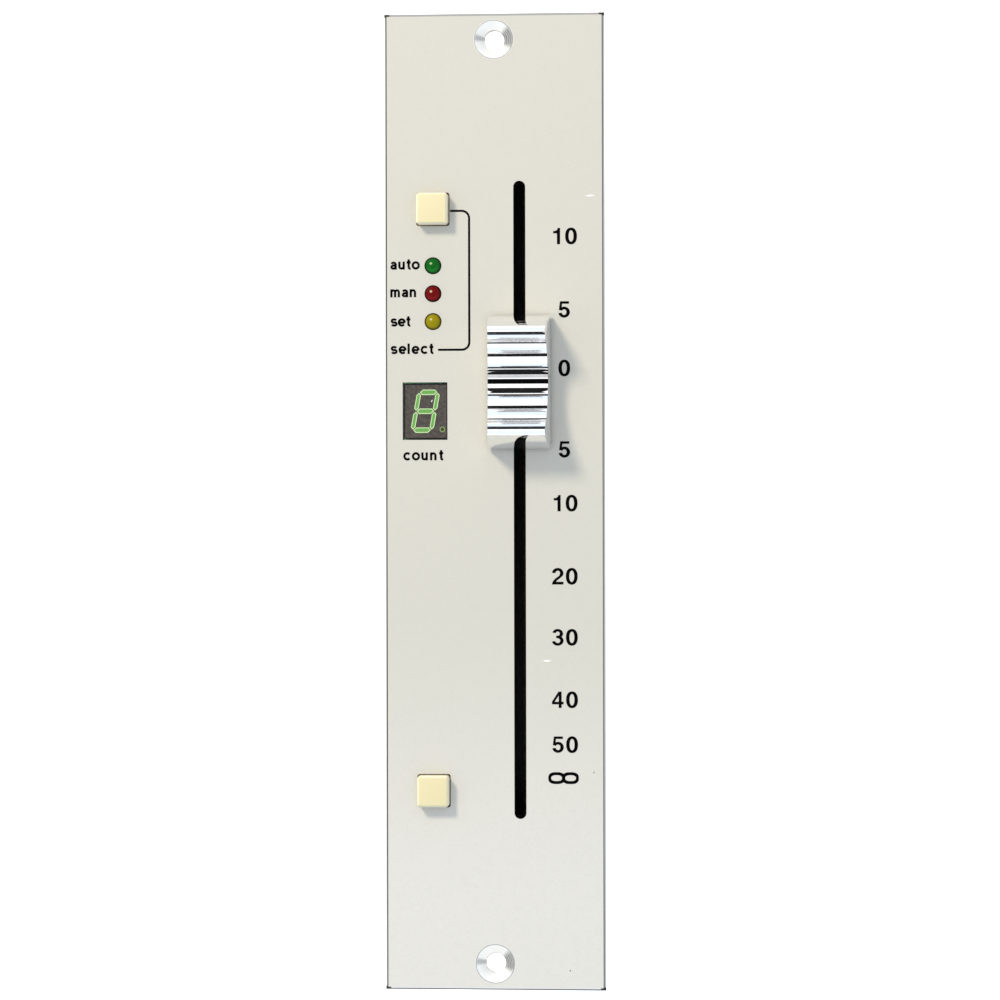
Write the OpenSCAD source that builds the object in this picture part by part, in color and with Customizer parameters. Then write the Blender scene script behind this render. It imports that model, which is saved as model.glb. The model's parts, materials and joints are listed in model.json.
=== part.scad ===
// Motorised channel fader module: a narrow panel with a long-throw slide
// potentiometer, two keys, three lamps and a single-digit display.
// +X is right, +Y is towards the top of the panel, +Z comes out of its front.
// The origin is on the rear face, midway between the two mounting holes.

/* [Panel] */
// Width of the panel
panel_w = 38.7; // [37:0.1:48]
// Thickness of the panel
panel_t = 2.5; // [2:0.1:3.5]
// Width of the bare bevel round the front edge
edge_bevel = 0.45; // [0.2:0.05:0.8]
// Panel left above and below the fader's chassis
panel_margin = 8.6; // [8:0.1:20]
// Distance of each mounting hole from the panel's end
screw_inset = 4.6; // [4:0.1:5]
// Clearance hole for a mounting screw
screw_hole_d = 3.4; // [3.2:0.1:4]
// Mouth of the countersink round a mounting hole
countersink_d = 6.6; // [6:0.1:7.5]

/* [Fader] */
// Distance the knob can travel
travel = 100; // [60:5:120]
// Distance of the fader's centreline to the right of the panel's
fader_x = 4.4; // [4.2:0.1:8]
// Distance of the middle of the travel above the panel's middle
fader_y = 0.3; // [0:0.1:0.5]
// Height of the knob above the middle of its travel, at rest
rest_height = 20.6; // [-30:0.2:30]
// Width of the slot in the panel
slot_w = 2.1; // [2:0.1:3]
// Room left between the stem and each end of the slot
slot_end_room = 1.9; // [1:0.1:3]

/* [Knob] */
// Length of the knob's base, along the travel
knob_l = 23.4; // [22:0.2:28]
// Width of the knob's base
knob_w = 11; // [9:0.2:14]
// Amount by which the knob narrows between its base and its crest
knob_taper = 1.1; // [0.4:0.1:1.6]
// Gap between the panel and the knob
knob_gap = 0.7; // [0.5:0.1:1.5]
// Height of the bottom of the finger hollow above the knob's base
saddle_h = 3.8; // [3.6:0.1:5]
// Angle of the finger hollow on each side of the index line, in degrees
saddle_angle = 56; // [50:1:58]
// Ribs on each side of the index line
ribs = 4; // [3:1:5]
// Height of a rib above the hollow
rib_h = 0.28; // [0.1:0.02:0.4]
// Radius of the crest at each end of the knob
crest_r = 0.9; // [0.8:0.05:1]
// Distance of the crest from the end of the base
crest_inset = 2.75; // [2.6:0.05:2.8]
// Width of the black index line
index_w = 0.85; // [0.6:0.05:1.2]
// Depth of the groove that holds the index line
index_depth = 0.45; // [0.3:0.05:0.6]
// Thickness of the knob's end walls round the hollows beneath
knob_wall = 1.5; // [1.2:0.1:2]

/* [Stem and carriage] */
// Thickness of the steel stem that carries the knob
stem_t = 1.2; // [1:0.1:1.3]
// Width of the stem along the travel
stem_w = 8; // [6:0.5:9]
// Depth of the stem inside the knob
stem_grip = 2.6; // [2:0.1:2.7]
// Depth of the stem inside the carriage
stem_root = 5.5; // [4:0.5:6]
// Width of the carriage
carriage_w = 12.8; // [12.4:0.1:13.2]
// Length of the carriage
carriage_l = 22; // [20:0.5:28]
// Height of the carriage block
carriage_h = 6.5; // [6:0.1:8]
// Distance of the carriage below the rear of the panel
carriage_drop = 3.5; // [3:0.1:5]
// Length of the open middle of the carriage
carriage_window = 10; // [8:0.5:12]
// Width of the spine between the two windows
spine_w = 4.8; // [4:0.2:5.2]
// Width of the neck that passes between the belt's runs
neck_w = 7.6; // [6:0.2:7.8]
// Length of the neck
neck_l = 10; // [8:0.5:14]
// Height of the wiper spring
wiper_h = 3.1; // [2.5:0.1:4]
// Thickness of the wiper spring
wiper_t = 0.2; // [0.15:0.05:0.3]

/* [Chassis and rods] */
// Width of the folded chassis
chassis_w = 16; // [16:0.2:17]
// Thickness of the chassis sheet
sheet_t = 1; // [0.8:0.1:1]
// Inner radius of the folds
fold_r = 0.5; // [0.3:0.1:1]
// Diameter of a guide rod
rod_d = 3; // [2.5:0.1:3.2]
// Distance of each rod from the centreline
rod_x = 4.2; // [4:0.1:4.4]
// Length of a rubber stop sleeve
sleeve_l = 5; // [3:0.5:8]
// Outer diameter of a stop sleeve
sleeve_d = 5; // [4.4:0.1:5.2]
// Gap between the carriage and a sleeve at the end of the travel
stop_gap = 0.5; // [0.3:0.1:1]
// Room between a sleeve and the end of the chassis
end_room = 10.5; // [10:0.5:14]
// Thread diameter of the clinch studs
stud_d = 3; // [2.5:0.5:3]
// Diameter of the head of a clinch stud
stud_head_d = 4.5; // [4:0.1:5]
// Thickness of the head of a clinch stud
stud_head_t = 1.2; // [0.8:0.1:1.4]
// Width of a nut across its flats
nut_w = 5.5; // [5:0.1:6]
// Thickness of a nut
nut_t = 2.4; // [1.8:0.1:2.4]

/* [Belt drive] */
// Radius at the middle of the belt on a pulley
pulley_pitch_r = 5; // [4.8:0.1:5.1]
// Thickness of the belt
belt_t = 1; // [0.6:0.1:1]
// Width of the belt
belt_w = 4; // [3:0.2:5]
// Distance of a pulley's axis beyond the stop of the carriage
pulley_room = 7.5; // [7:0.1:8]
// Thickness of the plates that carry the motor and the idler
plate_t = 1.2; // [1:0.1:2]
// Diameter of the motor can
motor_d = 20; // [18:0.5:22]
// Thickness of the motor across its flats
motor_flat = 15; // [12:0.5:16]
// Length of the motor can
motor_l = 20; // [15:1:30]
// Diameter of the motor shaft and of the idler pin
shaft_d = 2; // [1.5:0.1:2.4]

/* [Keys] */
// Distance of the keys and lamps to the left of the panel's middle
button_x = 10.8; // [10.4:0.1:12]
// Distance of each key above or below the middle of the fader
button_y = 51; // [50:0.5:52]
// Width of a square key cap
button_w = 5.5; // [5:0.1:6]
// Height of a key cap above the panel
button_proud = 2.5; // [1.5:0.1:3.5]
// Corner radius of a key cap
button_corner = 0.6; // [0.3:0.1:1]
// Distance a key can be pressed
button_stroke = 1.2; // [0.8:0.1:1.4]
// Width of the switch body
switch_w = 7; // [6.6:0.1:7.4]
// Height of the switch body
switch_h = 5.5; // [5:0.1:6]
// Width of the square stem of a switch
plunger_w = 3; // [2.4:0.1:3.2]

/* [Lamps and display] */
// Diameter of a lamp
lamp_d = 2.9; // [2.6:0.1:3]
// Height of a lamp's dome above the panel
lamp_proud = 0.9; // [0.6:0.1:1.2]
// Height of the top lamp above the panel's middle
lamp_top_y = 41.4; // [41:0.1:42]
// Distance from one lamp to the next
lamp_pitch = 4.9; // [4.5:0.1:5.2]
// Distance of the display to the left of the panel's middle
display_x = 12.25; // [12:0.05:13]
// Height of the display above the panel's middle
display_y = 15.9; // [15:0.1:17]
// Width of the display
display_w = 7.5; // [7.2:0.1:8]
// Height of the display
display_h = 9.7; // [9.5:0.1:10.5]
// Distance of the display's face below the front of the panel
display_recess = 0.6; // [0:0.1:1]
// Height of the digit
digit_h = 7.6; // [7:0.1:7.8]
// Slant of the digit in degrees
digit_slant = 10; // [0:1:12]

/* [Control board] */
// Width of the control board
board_w = 14; // [13.6:0.1:14.4]
// Distance of the board's ends beyond the keys
board_end_room = 13; // [11:0.5:16]
// Thickness of both circuit boards
board_t = 1.6; // [1.2:0.1:2]
// Distance of the control board behind the panel
board_drop = 12; // [11.5:0.1:14]
// Gap between the control board and the chassis
board_gap = 0.6; // [0.4:0.1:1]

/* [Hidden] */
$fn = 48;
cut = 1;
// Running gap between pieces that move past each other
run_gap = 0.3;
// Radial play of a sliding bearing
slide_play = 0.05;
// Gap round a part that is pushed into a hole
push_gap = 0.02;
// Vertical room between the carriage and the belt, and below the belt
belt_head_room = 1.5;
belt_foot_room = 1;
track_t = 0.1;
track_w = 2;
track_x = 1.9;
pin_w = 0.5;
pin_hole_d = 0.9;
pin_tail = 0.6;
pin_pitch = 2.54;

rod_z = -(carriage_drop + carriage_h / 2);
carriage_top = -carriage_drop;
carriage_bottom = carriage_top - carriage_h;
belt_top = carriage_bottom - belt_head_room;
belt_bottom = belt_top - belt_w;
neck_bottom = belt_bottom - belt_foot_room;
wiper_bottom = neck_bottom - wiper_h;
track_board_top = wiper_bottom - run_gap - track_t;
track_board_bottom = track_board_top - board_t;
plate_bottom = track_board_top - plate_t;
chassis_d = -track_board_top;

carriage_reach = (travel + carriage_l) / 2 + stop_gap;
chassis_l = 2 * (carriage_reach + sleeve_l + end_room);
panel_h = chassis_l + 2 * panel_margin;
screw_y = panel_h / 2 - screw_inset;
slot_l = travel + stem_w + 2 * slot_end_room;
pulley_y = carriage_reach + pulley_room - stop_gap;
rim_gap = 0.1;
rim_r = pulley_pitch_r - belt_t / 2 - rim_gap;
flange_r = pulley_pitch_r + belt_t / 2 + 0.7;
flange_t = 0.4;
pulley_top = belt_top + rim_gap + flange_t;
pulley_bottom = belt_bottom - rim_gap - flange_t;
stud_inset = 5;
stud_y = chassis_l / 2 - stud_inset;
stud_end = -(sheet_t + nut_t + 0.5);
rod_proud = 0.5;
tab_h = 9;
foot_w = 4;
foot_l = 16;
// The end plates reach past the chassis and stop short of the track board
plate_overhang = 1;
plate_l = foot_l + 2 + plate_overhang;
plate_screw_x = chassis_w / 2 - 3;
plate_screw_inset = 4;
plate_screw_y = chassis_l / 2 - plate_screw_inset;
plate_screw_d = 2;
plate_screw_head_d = 3.6;
plate_screw_head_t = 1.2;
lug_w = 3;
lug_y = travel * 0.4;
lug_proud = 0.8;
track_board_l = chassis_l - 2 * (foot_l + 3);
track_l = track_board_l - 2;

stem_top = panel_t + knob_gap + stem_grip;
stem_bottom = carriage_top - stem_root;
knob_base_z = panel_t + knob_gap;
// The crest's round starts at this angle, a little above the last valley
crest_start = 135;
crest_end = 41;
crest_steps = 7;
crest_lip = 0.2;
// The end wall leans in from this angle at the base to the crest's round
wall_lean = 6;
wall_steps = 8;
crest_y = knob_l / 2 - crest_inset;
saddle_r = (crest_y + crest_r * cos(crest_start)) / sin(saddle_angle);
saddle_z = saddle_h + saddle_r;
crest_h = saddle_z - saddle_r * cos(saddle_angle) + crest_lip - crest_r * sin(crest_start);
knob_top = crest_h + crest_r;
rib_angle = saddle_angle / ribs;
rib_steps = 8;

belt_run_x = pulley_pitch_r;
clamp_jaw = chassis_w / 2 - sheet_t - run_gap;
clamp_l = 8;

button_gap = 0.18;
button_ys = [fader_y + button_y, fader_y - button_y];
button_flange = 1;
button_flange_w = button_w + 1.7;
button_base = -(run_gap + 0.1 + button_flange);
switch_top = -board_drop + switch_h;
plunger_top = 2;
plunger_depth = 2.5;
spring_wire_d = 0.4;
spring_r = 2.7;
spring_turns = 4.5;
switch_leg_x = 2.5;
switch_leg_y = 2.6;

lamp_hole_d = lamp_d + 0.1;
lamp_ys = [for (i = [0:2]) lamp_top_y - i * lamp_pitch];
lamp_flange_d = 3.8;
lamp_l = 5.3;
lamp_base = panel_t + lamp_proud - lamp_l;

display_gap = 0.2;
display_depth = 6.5;
display_face = panel_t - display_recess;
display_base = display_face - display_depth;
segment_t = 0.4;
segment_row = 0.95;
segment_column = 0.78;
segment_gap = 0.1;
digit_w = 3.3;
digit_step = (digit_h - segment_row) / 2;
dot_r = 0.48;
dot_at = [3, -3.2];
display_pin_x = pin_pitch;
display_pin_pitch = 2;

board_right = fader_x - chassis_w / 2 - board_gap;
board_x = board_right - board_w / 2;
board_top = -board_drop;
board_bottom = board_top - board_t;
board_l = 2 * (button_y + board_end_room);
board_stud_inset = 4;
board_middle_stud_y = -5;
board_stud_reach = board_l / 2 - board_stud_inset;
board_stud_ys = [fader_y + board_stud_reach, board_middle_stud_y, fader_y - board_stud_reach];
spacer_d = 5;
stud_hole_d = stud_d + 0.2;
header_y = -18.75;
header_w = 8.9;
header_l = 20.3;
header_h = 9;
header_wall = 1;
header_floor = 2.5;
header_key_w = 4.5;
chip_y = -38.3;
chip_w = 6.3;
chip_l = 17.5;
chip_h = 3.3;
chip_lift = 0.5;
chip_row_x = 3.81;
resistor_ys = [1.5, 4.5, 7.5];
resistor_d = 2.2;
resistor_l = 6.3;
resistor_lead_x = 5;
capacitor_y = 25.5;
capacitor_x = 3.2;
capacitor_d = 5;
capacitor_h = 7;
track_header_x = 5.5;
track_header_y = travel * 0.42;
track_header_pins = 6;
track_pin_l = 6;

lamp_pins = [for (y = lamp_ys, s = [-1, 1]) [-button_x + s * pin_pitch / 2, y]];
display_pins_at = [for (i = [-2:2], s = [-1, 1]) [-display_x + s * display_pin_x, display_y + i * display_pin_pitch]];
switch_pins_at = [for (y = button_ys, sx = [-1, 1], sy = [-1, 1]) [-button_x + sx * switch_leg_x, y + sy * switch_leg_y]];
header_pins_at = [for (i = [-2:2], s = [-1, 1]) [board_x + s * pin_pitch / 2, header_y + i * pin_pitch]];
chip_pins_at = [for (i = [-3:3], s = [-1, 1]) [board_x + s * chip_row_x, chip_y + i * pin_pitch]];
resistor_pins_at = [for (y = resistor_ys, s = [-1, 1]) [board_x + s * resistor_lead_x, y]];
capacitor_pins_at = [for (c = [-1, 1], s = [-1, 1]) [board_x + c * capacitor_x + s * 1, capacitor_y]];
track_pins_at = [
    for (i = [0:track_header_pins - 1])
        [track_header_x, track_header_y + (i - (track_header_pins - 1) / 2) * pin_pitch]
];

// A block between low and high limits on each axis
module span(x, y, z) {
    translate([x[0], y[0], z[0]])
        cube([x[1] - x[0], y[1] - y[0], z[1] - z[0]]);
}

module rounded_rect(w, h, r) {
    square([w - 2 * r, h], center = true);
    square([w, h - 2 * r], center = true);
    for (x = [-1, 1], y = [-1, 1])
        translate([x * (w / 2 - r), y * (h / 2 - r)])
            circle(r);
}

// A slot with round ends, long along Y
module slot_outline(l, w) {
    square([w, l - w], center = true);
    for (y = [-1, 1])
        translate([0, y * (l - w) / 2])
            circle(d = w);
}

// A side view with a bevel at both top corners
module bevelled_profile(w, h, bevel) {
    polygon([
        [-w / 2, 0],
        [w / 2, 0],
        [w / 2, h - bevel],
        [w / 2 - bevel, h],
        [bevel - w / 2, h],
        [-w / 2, h - bevel]
    ]);
}

// Extrudes a view from the front, seen along Y, over a length
module along_y(l) {
    rotate([90, 0, 0])
        linear_extrude(l, center = true)
            children();
}

// Extrudes a side view, seen along X, over a width
module along_x(w) {
    rotate([90, 0, 90])
        linear_extrude(w, center = true)
            children();
}

module bevelled_block(w, l, h, bevel) {
    intersection() {
        along_y(l) bevelled_profile(w, h, bevel);
        along_x(w) bevelled_profile(l, h, bevel);
    }
}

module hex_nut(hole_d) {
    difference() {
        cylinder(d = nut_w / cos(30), h = nut_t, $fn = 6);
        translate([0, 0, -cut])
            cylinder(d = hole_d, h = nut_t + 2 * cut);
    }
}

module clinch_stud(end_z) {
    cylinder(d = stud_head_d, h = stud_head_t);
    translate([0, 0, end_z])
        cylinder(d = stud_d, h = -end_z);
}

module pins(points, low, high) {
    for (p = points)
        span(
            [p[0] - pin_w / 2, p[0] + pin_w / 2],
            [p[1] - pin_w / 2, p[1] + pin_w / 2],
            [low, high]
        );
}

module pin_holes(points) {
    for (p = points)
        translate(p)
            circle(d = pin_hole_d);
}

module at_fader() {
    translate([fader_x, fader_y, 0])
        children();
}

module at_carriage() {
    translate([fader_x, fader_y + rest_height, 0])
        children();
}

module at_motor() {
    translate([fader_x, fader_y - pulley_y, 0])
        children();
}

module at_idler() {
    translate([fader_x, fader_y + pulley_y, 0])
        children();
}

module screw_hole() {
    translate([0, 0, -cut])
        cylinder(d = screw_hole_d, h = panel_t + 2 * cut);
    translate([0, 0, panel_t - countersink_d / 2])
        cylinder(d1 = 0, d2 = countersink_d + 2 * cut, h = countersink_d / 2 + cut);
}

module panel_openings() {
    at_fader_2d() slot_outline(slot_l, slot_w);
    for (y = button_ys)
        translate([-button_x, y])
            rounded_rect(button_w + 2 * button_gap, button_w + 2 * button_gap, button_corner - button_gap);
    for (y = lamp_ys)
        translate([-button_x, y])
            circle(d = lamp_hole_d);
    translate([-display_x, display_y])
        square([display_w + 2 * display_gap, display_h + 2 * display_gap], center = true);
}

module at_fader_2d() {
    translate([fader_x, fader_y])
        children();
}

module stud_pocket() {
    translate([0, 0, -cut])
        cylinder(d = stud_head_d + 2 * push_gap, h = stud_head_t + push_gap + cut);
}

module front_panel() {
    color("gainsboro")
        difference() {
            bevelled_block(panel_w, panel_h, panel_t, edge_bevel);
            translate([0, 0, -cut])
                linear_extrude(panel_t + 2 * cut)
                    panel_openings();
            for (s = [-1, 1])
                translate([0, s * screw_y, 0])
                    screw_hole();
            for (s = [-1, 1])
                at_fader()
                    translate([0, s * stud_y, 0])
                        stud_pocket();
            for (y = board_stud_ys)
                translate([board_x, y, 0])
                    stud_pocket();
        }
}

// The open channel of the chassis, seen along its length
module channel_section() {
    difference() {
        translate([0, -chassis_d])
            rounded_rect(chassis_w, 2 * chassis_d, fold_r + sheet_t);
        translate([0, -chassis_d])
            rounded_rect(chassis_w - 2 * sheet_t, 2 * (chassis_d - sheet_t), fold_r);
        translate([-chassis_w, -3 * chassis_d])
            square([2 * chassis_w, 2 * chassis_d]);
    }
}

module chassis_end_tab() {
    inside = (chassis_w - sheet_t) / 2;
    span([-inside, inside], [chassis_l / 2 - sheet_t, chassis_l / 2], [-tab_h - sheet_t, -sheet_t]);
}

module chassis_foot() {
    inside = chassis_w / 2 - sheet_t;
    span(
        [inside - foot_w, inside + sheet_t / 2],
        [chassis_l / 2 - foot_l, chassis_l / 2],
        [-chassis_d, -chassis_d + sheet_t]
    );
}

module chassis_lug() {
    span(
        [chassis_w / 2 - sheet_t, chassis_w / 2],
        [lug_y - lug_w / 2, lug_y + lug_w / 2],
        [track_board_bottom - lug_proud, -chassis_d + cut]
    );
}

module fader_chassis() {
    color("dimgray")
        at_fader()
            difference() {
                union() {
                    along_y(chassis_l) channel_section();
                    for (end = [0, 1])
                        mirror([0, end, 0]) {
                            chassis_end_tab();
                            for (side = [0, 1])
                                mirror([side, 0, 0]) {
                                    chassis_foot();
                                    chassis_lug();
                                }
                        }
                }
                translate([0, 0, -sheet_t - cut])
                    linear_extrude(sheet_t + 2 * cut)
                        slot_outline(slot_l + 2, slot_w + 2);
                for (s = [-1, 1])
                    translate([0, s * stud_y, -sheet_t - cut])
                        cylinder(d = stud_hole_d, h = sheet_t + 2 * cut);
                for (s = [-1, 1])
                    translate([s * rod_x, 0, rod_z])
                        rotate([90, 0, 0])
                            cylinder(d = rod_d + 2 * push_gap, h = chassis_l + 2 * cut, center = true);
                for (sx = [-1, 1], sy = [-1, 1])
                    translate([sx * plate_screw_x, sy * plate_screw_y, -chassis_d - cut])
                        cylinder(d = plate_screw_d + 2 * push_gap, h = sheet_t + 2 * cut);
            }
}

module chassis_studs() {
    color("silver")
        at_fader()
            for (s = [-1, 1])
                translate([0, s * stud_y, 0])
                    clinch_stud(stud_end);
}

module chassis_nuts() {
    color("silver")
        at_fader()
            for (s = [-1, 1])
                translate([0, s * stud_y, -sheet_t - nut_t])
                    hex_nut(stud_d + 2 * push_gap);
}

module guide_rod(side) {
    color("lightgray")
        at_fader()
            translate([side * rod_x, 0, rod_z])
                rotate([90, 0, 0])
                    cylinder(d = rod_d, h = chassis_l + 2 * rod_proud, center = true);
}

module left_guide_rod() {
    guide_rod(-1);
}

module right_guide_rod() {
    guide_rod(1);
}

module stop_sleeves() {
    color("#1c1c1c")
        at_fader()
            for (sx = [-1, 1], sy = [-1, 1])
                translate([sx * rod_x, sy * (carriage_reach + sleeve_l / 2), rod_z])
                    rotate([90, 0, 0])
                        difference() {
                            cylinder(d = sleeve_d, h = sleeve_l, center = true);
                            cylinder(d = rod_d + 2 * push_gap, h = sleeve_l + 2 * cut, center = true);
                        }
}

module track_board() {
    color("darkgreen")
        at_fader()
            translate([0, 0, track_board_bottom])
                linear_extrude(board_t)
                    difference() {
                        square([chassis_w, track_board_l], center = true);
                        for (sx = [-1, 1], sy = [-1, 1])
                            translate([sx * (chassis_w - sheet_t) / 2, sy * lug_y])
                                square([sheet_t + 2 * push_gap, lug_w + 2 * push_gap], center = true);
                        pin_holes(track_pins_at);
                    }
}

module printed_track(side) {
    at_fader()
        translate([side * track_x, 0, track_board_top])
            linear_extrude(track_t)
                square([track_w, track_l], center = true);
}

module level_track() {
    color("#2b2b2b")
        printed_track(-1);
}

module collector_track() {
    color("silver")
        printed_track(1);
}

module track_header() {
    color("#1c1c1c")
        at_fader()
            difference() {
                span(
                    [track_header_x - pin_pitch / 2, track_header_x + pin_pitch / 2],
                    [
                        track_header_y - track_header_pins * pin_pitch / 2,
                        track_header_y + track_header_pins * pin_pitch / 2
                    ],
                    [track_board_bottom - pin_pitch, track_board_bottom]
                );
                pins_clearance(track_pins_at, track_board_bottom - pin_pitch - cut, track_board_bottom + cut);
            }
}

// Square holes that fit the pins closely
module pins_clearance(points, low, high) {
    for (p = points)
        translate([p[0], p[1], (low + high) / 2])
            cube([pin_w + 2 * push_gap, pin_w + 2 * push_gap, high - low], center = true);
}

module track_pins() {
    color("gold")
        at_fader()
            pins(track_pins_at, track_board_bottom - pin_pitch - track_pin_l, track_board_top + pin_tail);
}

module end_plate_outline() {
    translate([0, chassis_l / 2 + plate_overhang - plate_l / 2])
        square([chassis_w, plate_l], center = true);
}

module plate_screw_holes() {
    for (s = [-1, 1])
        translate([s * plate_screw_x, plate_screw_y])
            circle(d = plate_screw_d + 2 * push_gap);
}

module motor_plate() {
    color("silver")
        at_fader()
            mirror([0, 1, 0])
                translate([0, 0, plate_bottom])
                    linear_extrude(plate_t)
                        difference() {
                            end_plate_outline();
                            plate_screw_holes();
                            translate([0, pulley_y])
                                circle(d = motor_boss_d + 2 * push_gap);
                            for (s = [-1, 1])
                                translate([0, pulley_y + s * motor_screw_y])
                                    circle(d = plate_screw_d + 2 * push_gap);
                        }
}

module idler_plate() {
    color("silver")
        at_fader()
            translate([0, 0, plate_bottom])
                linear_extrude(plate_t)
                    difference() {
                        end_plate_outline();
                        plate_screw_holes();
                        translate([0, pulley_y])
                            circle(d = shaft_d + 2 * push_gap);
                    }
}

module pan_screw(length) {
    translate([0, 0, -length])
        cylinder(d = plate_screw_d, h = length);
    difference() {
        cylinder(d = plate_screw_head_d, h = plate_screw_head_t);
        for (a = [0, 90])
            rotate(a)
                translate([0, 0, plate_screw_head_t])
                    cube([plate_screw_head_d * 0.6, 0.5, 1], center = true);
    }
}

module plate_screws() {
    color("silver")
        at_fader()
            for (sx = [-1, 1], sy = [-1, 1])
                translate([sx * plate_screw_x, sy * plate_screw_y, -chassis_d + sheet_t])
                    pan_screw(sheet_t + plate_t);
}

motor_boss_d = 6;
motor_screw_y = 6;
motor_top = plate_bottom;
motor_bottom = motor_top - motor_l;
motor_cap_t = 2.5;
terminal_w = 2;
terminal_t = 0.4;
terminal_l = 3.3;
terminal_y = 5;
shaft_top = pulley_top + 0.4;

module motor_outline(inset) {
    intersection() {
        circle(d = motor_d - 2 * inset);
        square([motor_flat - 2 * inset, motor_d], center = true);
    }
}

module motor_can() {
    color("silver")
        at_motor()
            difference() {
                union() {
                    translate([0, 0, motor_bottom])
                        linear_extrude(motor_l)
                            motor_outline(0);
                    translate([0, 0, motor_top])
                        cylinder(d = motor_boss_d, h = plate_t);
                }
                translate([0, 0, motor_bottom + motor_l / 4])
                    cylinder(d = shaft_d + 2 * slide_play, h = motor_l + plate_t);
                for (s = [-1, 1])
                    translate([0, s * motor_screw_y, motor_top - 2])
                        cylinder(d = plate_screw_d + 2 * push_gap, h = 2 + cut);
                for (s = [-1, 1])
                    translate([s * motor_flat / 2, 0, motor_bottom + motor_l / 4])
                        cube([0.8, motor_flat / 3, 1.6], center = true);
            }
}

module motor_end_cap() {
    color("#1c1c1c")
        at_motor()
            difference() {
                translate([0, 0, motor_bottom - motor_cap_t])
                    linear_extrude(motor_cap_t)
                        motor_outline(0.4);
                for (s = [-1, 1])
                    translate([0, s * terminal_y, motor_bottom - motor_cap_t])
                        cube([terminal_w + 2 * push_gap, terminal_t + 2 * push_gap, 3], center = true);
            }
}

module motor_terminals() {
    color("gold")
        at_motor()
            for (s = [-1, 1])
                translate([0, s * terminal_y, motor_bottom - motor_cap_t - terminal_l / 2])
                    difference() {
                        translate([0, 0, 0.75])
                            cube([terminal_w, terminal_t, terminal_l + 1.5], center = true);
                        translate([0, 0, -terminal_l / 4])
                            rotate([90, 0, 0])
                                cylinder(d = 1, h = terminal_t + 2 * cut, center = true);
                    }
}

module motor_screws() {
    color("silver")
        at_motor()
            for (s = [-1, 1])
                translate([0, s * motor_screw_y, track_board_top])
                    pan_screw(plate_t + 1.8);
}

module motor_shaft() {
    color("lightgray")
        at_motor()
            translate([0, 0, motor_bottom + motor_l / 4 + 0.3])
                cylinder(d = shaft_d, h = shaft_top - motor_bottom - motor_l / 4 - 0.3);
}

// A flanged belt pulley with a bore
module pulley(bore_d) {
    difference() {
        union() {
            translate([0, 0, pulley_bottom])
                cylinder(r = rim_r, h = pulley_top - pulley_bottom);
            for (z = [pulley_bottom, pulley_top - flange_t])
                translate([0, 0, z])
                    cylinder(r = flange_r, h = flange_t);
        }
        translate([0, 0, pulley_bottom - cut])
            cylinder(d = bore_d, h = pulley_top - pulley_bottom + 2 * cut);
        for (a = [0:72:288])
            rotate(a)
                translate([rim_r * 0.6, 0, pulley_bottom - cut])
                    cylinder(d = 1.2, h = pulley_top - pulley_bottom + 2 * cut);
    }
}

module motor_pulley() {
    color("goldenrod")
        at_motor() pulley(shaft_d + 2 * push_gap);
}

module idler_pulley() {
    color("whitesmoke")
        at_idler() pulley(shaft_d + 2 * slide_play);
}

module idler_pin() {
    color("lightgray")
        at_idler() {
            translate([0, 0, plate_bottom])
                cylinder(d = shaft_d, h = shaft_top + 0.4 - plate_bottom);
            translate([0, 0, track_board_top])
                cylinder(d = shaft_d + 1.6, h = pulley_bottom - run_gap - track_board_top);
        }
}

module idler_ring() {
    color("silver")
        at_idler()
            translate([0, 0, pulley_top + 0.2])
                difference() {
                    cylinder(d = shaft_d + 1.8, h = 0.4);
                    translate([0, 0, -cut])
                        cylinder(d = shaft_d + 2 * push_gap, h = 0.4 + 2 * cut);
                    translate([0, shaft_d, 0])
                        cube([1, 2 * shaft_d, 2], center = true);
                }
}

module drive_belt() {
    color("#262626")
        at_fader()
            translate([0, 0, belt_bottom])
                linear_extrude(belt_w)
                    difference() {
                        slot_outline(2 * pulley_y + 2 * pulley_pitch_r + belt_t, 2 * pulley_pitch_r + belt_t);
                        slot_outline(2 * pulley_y + 2 * pulley_pitch_r - belt_t, 2 * pulley_pitch_r - belt_t);
                    }
}

module stem_side(gap) {
    polygon([
        [-stem_w / 2 - gap, stem_bottom - gap],
        [stem_w / 2 + gap, stem_bottom - gap],
        [stem_w / 2 + gap, stem_top - 0.6],
        [stem_w / 2 + gap - 0.6, stem_top + gap],
        [0.6 - stem_w / 2 - gap, stem_top + gap],
        [-stem_w / 2 - gap, stem_top - 0.6]
    ]);
}

module carriage() {
    color("#202224")
        at_carriage()
            difference() {
                union() {
                    translate([0, 0, carriage_bottom])
                        linear_extrude(carriage_h)
                            rounded_rect(carriage_w, carriage_l, 1);
                    translate([0, 0, neck_bottom])
                        linear_extrude(carriage_bottom - neck_bottom + cut)
                            rounded_rect(neck_w, neck_l, 0.5);
                }
                for (s = [-1, 1])
                    translate([s * rod_x, 0, rod_z])
                        rotate([90, 0, 0])
                            cylinder(d = rod_d + 2 * slide_play, h = carriage_l + 2 * cut, center = true);
                for (s = [-1, 1])
                    translate([s * (spine_w + carriage_w) / 2, 0, rod_z])
                        cube([carriage_w, carriage_window, carriage_h - 2], center = true);
                along_x(stem_t + 2 * push_gap) stem_side(push_gap);
            }
}

module knob_stem() {
    color("lightgray")
        at_carriage()
            along_x(stem_t) stem_side(0);
}

module belt_clamp() {
    color("#3a3d40")
        at_carriage()
            difference() {
                span([-clamp_jaw, -neck_w / 2], [-clamp_l / 2, clamp_l / 2], [neck_bottom, belt_top + run_gap]);
                translate([-belt_run_x, 0, (belt_bottom - run_gap + belt_top + run_gap + cut) / 2])
                    cube([belt_t + 2 * run_gap, clamp_l + 2 * cut, belt_w + 2 * run_gap + cut], center = true);
            }
}

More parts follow.
